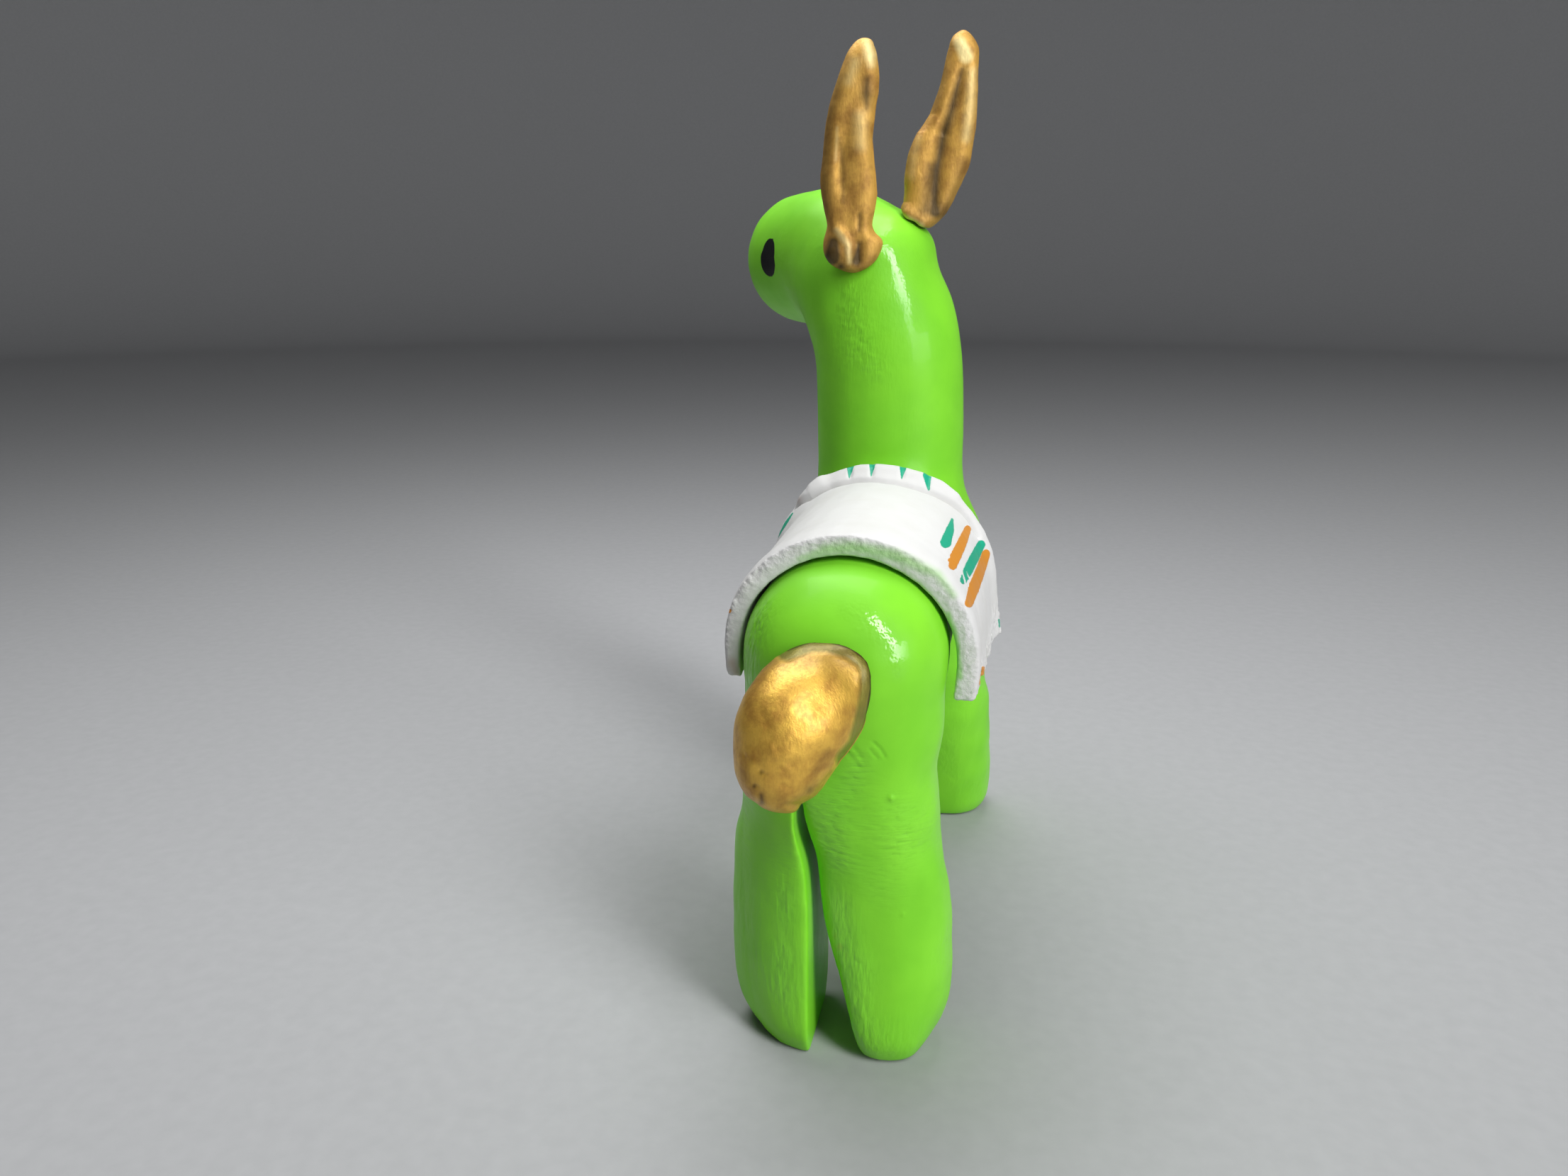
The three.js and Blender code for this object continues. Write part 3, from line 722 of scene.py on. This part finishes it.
tail_tree = tree_of(tail)
corners = corners_of(tail)
pixels, pixel_wide, seen = in_photo(corners, facings_of(tail))
rim, _ = away_from([np.array(p, float) for p in TAIL_RIM], pixels)
seam = np.where(seen, rim * pixel_wide, foot)
relief = 0.05 * ripple(corners, 0.25, 51) + 0.022 * ripple(corners, 0.9, 52)
relief -= BAND_DEEP * (1 - step(seam, BAND_WIDE - BAND_SOFT, BAND_WIDE + BAND_SOFT))
relief += touched(corners, tail_tree, TAIL_MARKS)
raise_by(tail, relief)
keep(tail, "seam", seam)
keep(tail, "smudge_and_shade", brushed(tail, TAIL_SMUDGES_AND_SHADE))
lighten(tail, triangles=70_000)

# %% [markdown]
# The ears are leaves of clay, pinched between finger and thumb. The left one has a valley between two soft ridges, a
# thumb's dimple below the tip, and lobes where its foot was pushed on the head. The right one is folded along a
# long crease, and its tip is pressed flat. The gold lies thin in the hollows, so each ear also has marks that say
# where it is dark, which is partly thin gold and partly painted shade on its shaded side and in its folds, and marks
# of painted highlight where it catches the light.

# %% Ears pinched to their outline
LEFT_EAR_OUTLINE = [
    (62, 1209, 1230), (73, 1199, 1234), (90, 1190, 1238), (111, 1181, 1241), (132, 1174, 1240), (149, 1169, 1237),
    (172, 1165, 1234), (196, 1162, 1231), (220, 1160, 1233), (246, 1157, 1236), (273, 1158, 1238), (293, 1161, 1235),
    (317, 1167, 1231),
]
RIGHT_EAR_OUTLINE = [
    (57, 1344, 1373), (73, 1339, 1381), (99, 1331, 1380), (138, 1319, 1378), (161, 1311, 1377), (188, 1293, 1375),
    (220, 1281, 1371), (255, 1275, 1360), (285, 1274, 1346), (300, 1272, 1337),
]

pinch(ear_left, LEFT_EAR_OUTLINE, lift=9)
pinch(ear_right, RIGHT_EAR_OUTLINE, lift=6)

# %% Marks on the ears
LEFT_EAR_MARKS = [
    (1.3, -0.30, [(1222, 118), (1221, 148)]),
    (0.8, -0.35, [(1188, 200), (1185, 240), (1190, 275)]),
    (0.7, 0.15, [(1180, 180), (1176, 225), (1172, 262)]),
    (1.3, 0.20, [(1210, 165), (1212, 220)]),
    (0.5, -0.25, [(1213, 300), (1212, 326)]),
    (1.3, 0.70, [(1177, 357)]),
    (0.6, 0.35, [(1176, 317), (1190, 332), (1198, 350), (1196, 376)]),
    (0.9, 0.50, [(1240, 340)]),
    (0.7, -0.40, [(1212, 345), (1211, 366)]),
]
# thin gold, and painted shade on the shaded side and in the folds
LEFT_EAR_DARK_AND_SHADE = [
    (0.85, 9, [(1223, 112, 3), (1222, 135, 7), (1223, 152, 3)]),
    (0.60, 7, [(1184, 196, 1), (1188, 220, 3), (1190, 250, 2), (1190, 285, 1)]),
    (0.50, 13, [(1186, 110, 3), (1168, 170, 5), (1162, 240, 6), (1163, 300, 6)]),
    (0.65, 4, [(1213, 302, 2), (1212, 325, 2)]),
    (1.00, 6, [(1176, 342, 8), (1174, 362, 10)]),
    (0.80, 6, [(1212, 345, 3), (1208, 368, 6)]),
    (0.60, 5, [(1186, 376, 4)]),
]
# painted highlights: where the left ear catches the light
LEFT_EAR_PAINTED_HIGHLIGHT = [
    (1.00, 9, [(1224, 64, 5), (1228, 78, 7), (1229, 90, 3)]),
    (0.50, 11, [(1206, 88, 5), (1197, 115, 3)]),
    (0.45, 12, [(1213, 165, 6), (1214, 205, 5)]),
    (0.40, 4, [(1181, 180, 1), (1179, 225, 1)]),
    (0.60, 5, [(1180, 325, 3), (1196, 345, 4), (1198, 370, 2)]),
]
RIGHT_EAR_MARKS = [
    (1.3, 0.20, [(1352, 58), (1364, 70)]),
    (0.7, -0.30, [(1359, 97), (1346, 135), (1334, 165), (1328, 193)]),
    (1.0, -0.30, [(1328, 193), (1322, 250), (1317, 300)]),
    (1.5, 0.25, [(1372, 110), (1368, 150), (1360, 200)]),
    (1.3, 0.30, [(1296, 200), (1290, 220), (1286, 245)]),
    (0.9, 0.40, [(1276, 306)]),
    (0.9, 0.30, [(1297, 316)]),
]
# thin gold, and painted shade in the crease and folds
RIGHT_EAR_DARK_AND_SHADE = [
    (0.90, 8, [(1358, 97, 2), (1350, 125, 5), (1342, 158, 6), (1330, 195, 7), (1322, 240, 6), (1319, 300, 5)]),
    (0.45, 12, [(1332, 100, 3), (1320, 150, 6)]),
    (0.50, 12, [(1362, 230, 4), (1350, 262, 6), (1332, 300, 6)]),
    (0.60, 10, [(1312, 235, 5), (1308, 275, 8), (1306, 295, 6)]),
]
# painted highlights: where the right ear catches the light
RIGHT_EAR_PAINTED_HIGHLIGHT = [
    (0.90, 5, [(1354, 60, 8), (1363, 80, 9)]),
    (0.50, 8, [(1372, 100, 5), (1369, 150, 6), (1363, 195, 5)]),
    (0.60, 5, [(1276, 308, 5), (1297, 320, 6)]),
    (0.30, 8, [(1296, 195, 3), (1288, 225, 5), (1285, 250, 3)]),
]
print("presses on the ears:", len(LEFT_EAR_MARKS), "and", len(RIGHT_EAR_MARKS))

# %% Ear relief
DARK, SUNKEN, FOOT = 1.1, 0.3, 0.4  # how much darker the gold is at the marks, in hollows and at the foot: thin gold and painted shade
FOOT_ENDS = 0.5, 4


def ear_relief(piece, marks, dark, bright, seed):
    corners = corners_of(piece)
    low = corners[:, 2].min()
    relief = touched(corners, tree_of(piece), marks)
    relief += 0.10 * ripple(corners, 0.28, seed) + 0.04 * ripple(corners, np.array([0.9, 0.9, 0.4]), seed + 1)
    raise_by(piece, relief)
    # the dark marks, hollows and foot are thin gold and painted shade
    thin = DARK * brushed(piece, dark) + SUNKEN * step(hollows(piece, rounds=60), 0.02, 0.2)
    thin += FOOT * (1 - step(corners[:, 2] - low, *FOOT_ENDS))
    keep(piece, "thin", np.clip(thin, 0, 1))
    # painted highlight
    keep(piece, "bright", np.clip(brushed(piece, bright), 0, 1))
    lighten(piece, triangles=60_000)


ear_relief(ear_left, LEFT_EAR_MARKS, LEFT_EAR_DARK_AND_SHADE, LEFT_EAR_PAINTED_HIGHLIGHT, seed=61)
ear_relief(ear_right, RIGHT_EAR_MARKS, RIGHT_EAR_DARK_AND_SHADE, RIGHT_EAR_PAINTED_HIGHLIGHT, seed=71)

# %% [markdown]
# Paint has to look like paint: one helper turns a hex colour, as a paint chart gives it, to the linear values that
# the renderer wants, one adds a node, and one links the results and gives the paint to its pieces. A pattern is always
# noise in the piece's own space, and its scale is one over the real distance between two marks. A MapRange is given
# its value, the range it comes in and the range it goes out in, and a Mix of colours its share and the two colours.


# %% Colour and node helpers
def linear(code):
    """A hex colour in linear light, with full opacity."""
    values = [int(code[i : i + 2], 16) / 255 for i in (1, 3, 5)]
    return tuple(v / 12.92 if v <= 0.04045 else ((v + 0.055) / 1.055) ** 2.4 for v in values) + (1,)


def add(tree, kind, *inputs, give=None, **settings):
    """Adds a node and gives its output. Its open sockets are filled in order: a hex colour, a value, or the output of
    another node, which is linked."""
    node = tree.nodes.new("ShaderNode" + kind)
    for name, value in settings.items():
        setattr(node, name, value)
    for socket, value in zip([s for s in node.inputs if s.enabled], inputs):
        if isinstance(value, bpy.types.NodeSocket):
            tree.links.new(value, socket)
        elif value is not None:
            socket.default_value = linear(value) if isinstance(value, str) else value
    return node.outputs[give] if give else next(s for s in node.outputs if s.enabled)


print("mid grey in linear light:", round(linear("#808080")[0], 3))


# %% New paint, and paint on a piece
def new_paint(name, values):
    """A material with its shader's plain values, its nodes, and the place on the piece for its patterns."""
    material = bpy.data.materials.new(name)
    material.use_nodes = True
    tree = material.node_tree
    for socket, value in values.items():
        tree.nodes["Principled BSDF"].inputs[socket].default_value = value
    return material, tree, add(tree, "TexCoord", give="Object")


def paint_on(material, pieces, outputs):
    """Links outputs to the shader's sockets by name, and gives the material to the pieces."""
    tree = material.node_tree
    for socket, output in outputs.items():
        tree.links.new(output, tree.nodes["Principled BSDF"].inputs[socket])
    for piece in pieces:
        piece.data.materials.append(material)
    print(material.name, len(tree.nodes), "nodes")


# %% [markdown]
# The body's paint is artist's acrylic, brushed on thickly and thumbed smooth on the rump. Acrylic has the default IOR
# of 1.5 and dries satin, so it reflects softly, and a low specular level leaves its green deep. Where it was dabbed on
# or dragged into wrinkles it has a thin gloss, and bristles a quarter of a millimetre apart break that gloss into
# glints. So the gloss is a coat, and its weight follows the marks that the corners store.

# %% Green acrylic
GREEN = "#85DB32"
GREEN_DEEP = "#79CF2C"
GREEN_PAINTED_SHADE = "#4E9A20"
OLIVE = "#9BA238"
EYE_BLACK = "#060608"
CLOUD = 8 * MM

material, tree, place = new_paint(
    "green_acrylic_brushed_on_clay", {"Coat Roughness": 0.08, "Specular IOR Level": 0.2}
)
level, upright, dabbed, worn, hollow, eye = (
    add(tree, "Attribute", attribute_name=name, give="Fac")
    for name in ("level", "upright", "dabbed", "worn", "hollow", "eye")
)
cloudy = add(tree, "TexNoise", place, 1 / CLOUD, 3)
flaked = add(tree, "MapRange", add(tree, "TexNoise", place, 1 / MM, 3), 0.45, 0.6, 0, 0.55)
colour = add(tree, "Mix", add(tree, "MapRange", cloudy, 0.35, 0.7), GREEN, GREEN_DEEP, data_type="RGBA")
for share, paint in (
    # painted shade: the green is darker in the hollows and wrinkles, where shade falls
    (add(tree, "MapRange", hollow, 0, 0.06, 0, 0.3), GREEN_PAINTED_SHADE),
    (add(tree, "Math", worn, flaked, operation="MULTIPLY"), OLIVE),
    (add(tree, "MapRange", eye, -0.06, 0.06, 1, 0), EYE_BLACK),
):
    colour = add(tree, "Mix", share, colour, paint, data_type="RGBA")
print("colours of the body:", len(tree.nodes), "nodes")

# %% Brush marks in the green
GRIT = 0.26 * MM
SPECK = 0.45 * MM
PATCHY = 3 * MM
BRISTLE = 0.28 * MM
STROKE = 1.4 * MM
BRUSH_DEEP = 0.09 * MM

height = 0
for scales, mark in (
    ((1 / STROKE, 1 / STROKE, 1 / BRISTLE), level),
    ((1 / BRISTLE, 1 / BRISTLE, 1 / STROKE), upright),
):
    stretched = add(tree, "VectorMath", place, scales, operation="MULTIPLY")
    strength = add(tree, "MapRange", mark, 0, 1, 0.04, 1)
    height = add(tree, "Math", add(tree, "TexNoise", stretched, 1, 3), strength, height, operation="MULTIPLY_ADD")
grit_share = add(tree, "MapRange", add(tree, "TexNoise", place, 1 / PATCHY, 2), 0.45, 0.65, 0.03, 0.12)
height = add(tree, "Math", add(tree, "TexNoise", place, 1 / GRIT, 4), grit_share, height, operation="MULTIPLY_ADD")
height = add(tree, "Math", add(tree, "TexNoise", place, 1 / SPECK, 1), dabbed, height, operation="MULTIPLY_ADD")
bump = add(tree, "Bump", 1, BRUSH_DEEP, None, height)
wrinkled = add(tree, "Math", level, upright, operation="MAXIMUM")
glossy = add(tree, "Math", wrinkled, 0.2, dabbed, operation="MULTIPLY_ADD")
paint_on(material, [body], {
    "Base Color": colour,
    "Roughness": add(tree, "MapRange", cloudy, 0.3, 0.7, 0.38, 0.5),
    "Normal": bump,
    "Coat Normal": bump,
    "Coat Weight": add(tree, "MapRange", glossy, 0, 0.4, 0.05, 0.95),
})

# %% [markdown]
# The blanket is white air-drying clay, rolled out and left bare. Dry clay is matt and dusty, so it is rough and hardly
# reflects. Where it was torn it is full of crumbs and tiny pits, so its bump is strong there and faint on the rolled
# face. The dabs have a little gloss, as thick acrylic does, and their edges are ragged where the brush ran dry.

# %% White clay
CLAY = "#D7D7D6"
CLAY_DUSTY = "#CFCECA"
CLAY_PAINTED_SHADE = "#A8A59C"
CRUMB = 0.3 * MM
DUST = 4 * MM

material, tree, place = new_paint("white_modelling_clay_air_dried", {"Specular IOR Level": 0.35})
torn, hollow, green, smear, teal, orange = (
    add(tree, "Attribute", attribute_name=name, give="Fac")
    for name in ("torn", "hollow", "green", "smear", "teal", "orange")
)
crumbs = add(tree, "TexNoise", place, 1 / CRUMB, 4, 0.6)
dusty = add(tree, "MapRange", add(tree, "TexNoise", place, 1 / DUST, 3), 0.45, 0.75, 0, 0.5)
colour = add(tree, "Mix", dusty, CLAY, CLAY_DUSTY, data_type="RGBA")
print("plain clay:", len(tree.nodes), "nodes")

# %% Dabs over the clay
TEAL_PAINT = "#1FA784"
ORANGE_PAINT = "#D48B2C"
GREEN_RUN_AND_BOUNCE = "#7CC63A"
RUST = "#A5693F"
RAGGED = 0.12  # mm
CRUMB_DEEP = 0.16 * MM

dry_brush = add(tree, "Math", crumbs, 0.5, operation="SUBTRACT")
covers = []
for outside in (teal, orange):
    ragged = add(tree, "Math", dry_brush, RAGGED, outside, operation="MULTIPLY_ADD")
    covers.append(add(tree, "MapRange", ragged, 0.03, -0.03))
for share, paint in (
    # painted shade: the clay is greyer in its hollows, as in the crease behind the cuff
    (add(tree, "MapRange", hollow, 0, 0.12, 0, 0.45), CLAY_PAINTED_SHADE),
    # green paint run, and painted green bounce light from the body on the clay
    (add(tree, "MapRange", green, 0, 1, 0, 0.65), GREEN_RUN_AND_BOUNCE),
    (smear, RUST),
    (covers[0], TEAL_PAINT),
    (covers[1], ORANGE_PAINT),
):
    colour = add(tree, "Mix", share, colour, paint, data_type="RGBA")
painted = add(tree, "Math", *covers, operation="MAXIMUM")
crumb_height = add(tree, "Math", crumbs, add(tree, "MapRange", torn, 0, 1, 0.08, 0.6), operation="MULTIPLY")
height = add(tree, "Math", painted, 0.2, crumb_height, operation="MULTIPLY_ADD")
paint_on(material, [blanket], {
    "Base Color": colour,
    "Roughness": add(tree, "MapRange", painted, 0, 1, 0.72, 0.4),
    "Normal": add(tree, "Bump", 1, CRUMB_DEEP, None, height),
})

# %% [markdown]
# Gold acrylic holds flakes of mica in a clear binder: it shines like worn metal where it lies thick and turns brown
# where it is thin, in creases and at edges. So it is part metal, which keeps the default IOR, and part paint, and the
# binder lays a soft shine on top. On the tail the brush ran down the egg.

# %% Gold acrylic on the tail
GOLD = "#E5B84C"
GOLD_THIN = "#A5722C"
BROWN = "#4A3214"
OLIVE_SHADE = "#6F7A2C"
HAIR = 0.3 * MM
DRAG = 1.2 * MM
FLAKE = 0.17 * MM  # real flakes are finer, but would not show
PATCH = 2.4 * MM
GOLD_DEEP = 0.03 * MM

material, tree, place = new_paint(
    "gold_acrylic_on_tail", {"Metallic": 0.6, "Coat Weight": 0.25, "Coat Roughness": 0.26}
)
seam, smudge_and_shade = (add(tree, "Attribute", attribute_name=name, give="Fac") for name in ("seam", "smudge_and_shade"))
down_egg = add(tree, "VectorMath", place, (1 / HAIR, 1 / HAIR, 1 / DRAG), operation="MULTIPLY")
strokes = add(tree, "TexNoise", down_egg, 1, 4)
patches = add(tree, "MapRange", add(tree, "TexNoise", place, 1 / PATCH, 4, 0.6), 0.42, 0.66, 0, 0.7)
colour = add(tree, "Mix", patches, GOLD, GOLD_THIN, data_type="RGBA")
for share, paint in (
    (add(tree, "MapRange", strokes, 0.45, 0.7, 0, 0.16), GOLD_THIN),
    (add(tree, "MapRange", seam, 1.35, 0.9, 0, 0.8), OLIVE_SHADE),
    (add(tree, "MapRange", seam, 0.28, 0.16, 0, 0.95), BROWN),
    # smudges, a darker bottom, and painted shade over the top of the egg
    (smudge_and_shade, BROWN),
):
    colour = add(tree, "Mix", share, colour, paint, data_type="RGBA")
height = add(tree, "Math", add(tree, "TexNoise", place, 1 / FLAKE, 2), 0.5, strokes, operation="MULTIPLY_ADD")
paint_on(material, [tail], {
    "Base Color": colour,
    "Roughness": add(tree, "MapRange", strokes, 0.3, 0.7, 0.4, 0.54),
    "Normal": add(tree, "Bump", 1, GOLD_DEEP, None, height),
})

# %% [markdown]
# The ears got a thinner coat of the same gold, dabbed on with an almost dry brush. It has fewer flakes, so it is less
# of a metal, matt and browner, and it is gone in the hollows. Its colour also holds painted shade in the hollows,
# folds and at the foot, and painted highlights on the lit tips and ridges.

# %% Gold acrylic on the ears
EAR_GOLD = "#D2A34A"
EAR_THIN = "#96682A"
EAR_DARK_AND_SHADE = "#2C2208"
EAR_PAINTED_HIGHLIGHT = "#FFF0AE"
EAR_DRAG = 0.8 * MM
EAR_DEEP = 0.05 * MM

material, tree, place = new_paint("gold_acrylic_dabbed_on_ears", {"Metallic": 0.35})
thin, bright = (add(tree, "Attribute", attribute_name=name, give="Fac") for name in ("thin", "bright"))
along_ear = add(tree, "VectorMath", place, (1 / HAIR, 1 / HAIR, 1 / EAR_DRAG), operation="MULTIPLY")
strokes = add(tree, "TexNoise", along_ear, 1, 4)
patches = add(tree, "MapRange", add(tree, "TexNoise", place, 1 / PATCH, 4, 0.6), 0.42, 0.66, 0, 0.75)
colour = add(tree, "Mix", patches, EAR_GOLD, EAR_THIN, data_type="RGBA")
for share, paint in (
    (add(tree, "MapRange", strokes, 0.45, 0.7, 0, 0.2), EAR_THIN),
    # thin gold, and painted shade on the shaded side, in the folds and at the foot
    (add(tree, "MapRange", thin, 0, 1, 0, 0.9), EAR_DARK_AND_SHADE),
    # painted highlight where the ears catch the light
    (add(tree, "MapRange", bright, 0, 1, 0, 0.8), EAR_PAINTED_HIGHLIGHT),
):
    colour = add(tree, "Mix", share, colour, paint, data_type="RGBA")
paint_on(material, [ear_left, ear_right], {
    "Base Color": colour,
    "Roughness": add(tree, "MapRange", strokes, 0.3, 0.7, 0.5, 0.65),
    "Normal": add(tree, "Bump", 1, EAR_DEEP, None, strokes),
})

# %% [markdown]
# Each piece now takes the place of its solid and moves with the figure's one rigid body.

# %% Places in the figure
for piece, node, slot in (
    (body, "body", "body_green"),
    (blanket, "blanket", "blanket_white"),
    (tail, "tail", "gold"),
    (ear_left, "ear_left", "gold"),
    (ear_right, "ear_right", "gold"),
):
    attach(piece, "root")
    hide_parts(node)
    print(piece.name, "stands for", node)

# %% [markdown]
# The figure stands in a wide round bowl of pale paper: flat in the middle, and curved up into a wall far away, so
# that it looks plain from every side. It is a line turned about the upright axis. Matt paper scatters all light, so
# it is rough and hardly reflects.

# %% Paper bowl
PAPER_FLAT = 1.0
PAPER_BEND = 0.3
PAPER_TOP = 1.6
PAPER = "#AAABAD"
PAPER_FIBRE = "#AEAFB1"
TURNS = 96
FIBRE = 2 * MM

line = [(PAPER_FLAT, 0)]
for turn in np.linspace(0, math.pi / 2, 20)[1:]:
    line.append((PAPER_FLAT + PAPER_BEND * math.sin(turn), PAPER_BEND * (1 - math.cos(turn))))
line.append((PAPER_FLAT + PAPER_BEND, PAPER_TOP))
angles = [2 * math.pi * i / TURNS for i in range(TURNS)]
points = [(r * math.cos(a), r * math.sin(a), z) for r, z in line for a in angles]
faces = [tuple(range(TURNS))]
for ring in range(len(line) - 1):
    for i in range(TURNS):
        a, b = ring * TURNS + i, ring * TURNS + (i + 1) % TURNS
        faces.append((a, a + TURNS, b + TURNS, b))
paper_mesh = bpy.data.meshes.new("paper")
paper_mesh.from_pydata(points, [], faces)
paper_mesh.shade_smooth()
paper = bpy.data.objects.new("paper", paper_mesh)
scene.collection.objects.link(paper)
material, tree, place = new_paint("pale_paper", {"Roughness": 0.9, "Specular IOR Level": 0.2})
fibres = add(tree, "MapRange", add(tree, "TexNoise", place, 1 / FIBRE, 3), 0.3, 0.7)
paint_on(material, [paper], {"Base Color": add(tree, "Mix", fibres, PAPER, PAPER_FIBRE, data_type="RGBA")})

# %% [markdown]
# The broken glint on the rump is a mirror image of the main lamp: traced back, it runs from nearly overhead down to
# the right behind the camera. So that lamp, the window, is one long soft strip there. A wide strip low on the right
# lights the sides of the legs, and a small hood close overhead lights what faces up. Little light comes from the left,
# which is why the left sides of the legs are deep green.

# %% Lamps
AIM = Vector((0, 0, 50)) * MM
ROOM = "#EDE9E2"
ROOM_STRENGTH = 0.02


def strip(name, from_way, to_way, wide, distance, power):
    """A long soft lamp that spans two directions as seen from the figure."""
    from_way, to_way = Vector(from_way).normalized(), Vector(to_way).normalized()
    middle = (from_way + to_way).normalized()
    length = (to_way - from_way) * distance
    data = bpy.data.lights.new(name, "AREA")
    data.shape = "RECTANGLE"
    data.size, data.size_y = wide, length.length
    data.energy = power
    lamp = bpy.data.objects.new(name, data)
    scene.collection.objects.link(lamp)
    along = length.normalized()
    axes = np.array([along.cross(middle), along, middle]).T
    lamp.visible_camera = False
    lamp.matrix_world = Matrix.Translation(AIM + middle * distance) @ Matrix(axes).to_4x4()
    print(name, "stands at mm", [round(v / MM) for v in lamp.matrix_world.translation])


strip("window", (-0.26, 0.38, 0.90), (-0.72, 0.59, 0.36), wide=0.18, distance=0.9, power=5.6)
strip("side", (-0.79, 0.48, 0.38), (-0.84, 0.50, 0.15), wide=0.5, distance=0.9, power=3.1)
strip("hood", (0.16, -0.60, 0.94), (0.16, 0.10, 0.96), wide=0.2, distance=0.25, power=0.66)
world = bpy.data.worlds.new("room")
scene.world = world
world.use_nodes = True
world.node_tree.nodes["Background"].inputs["Color"].default_value = linear(ROOM)
world.node_tree.nodes["Background"].inputs["Strength"].default_value = ROOM_STRENGTH
scene.view_settings.view_transform = "Standard"
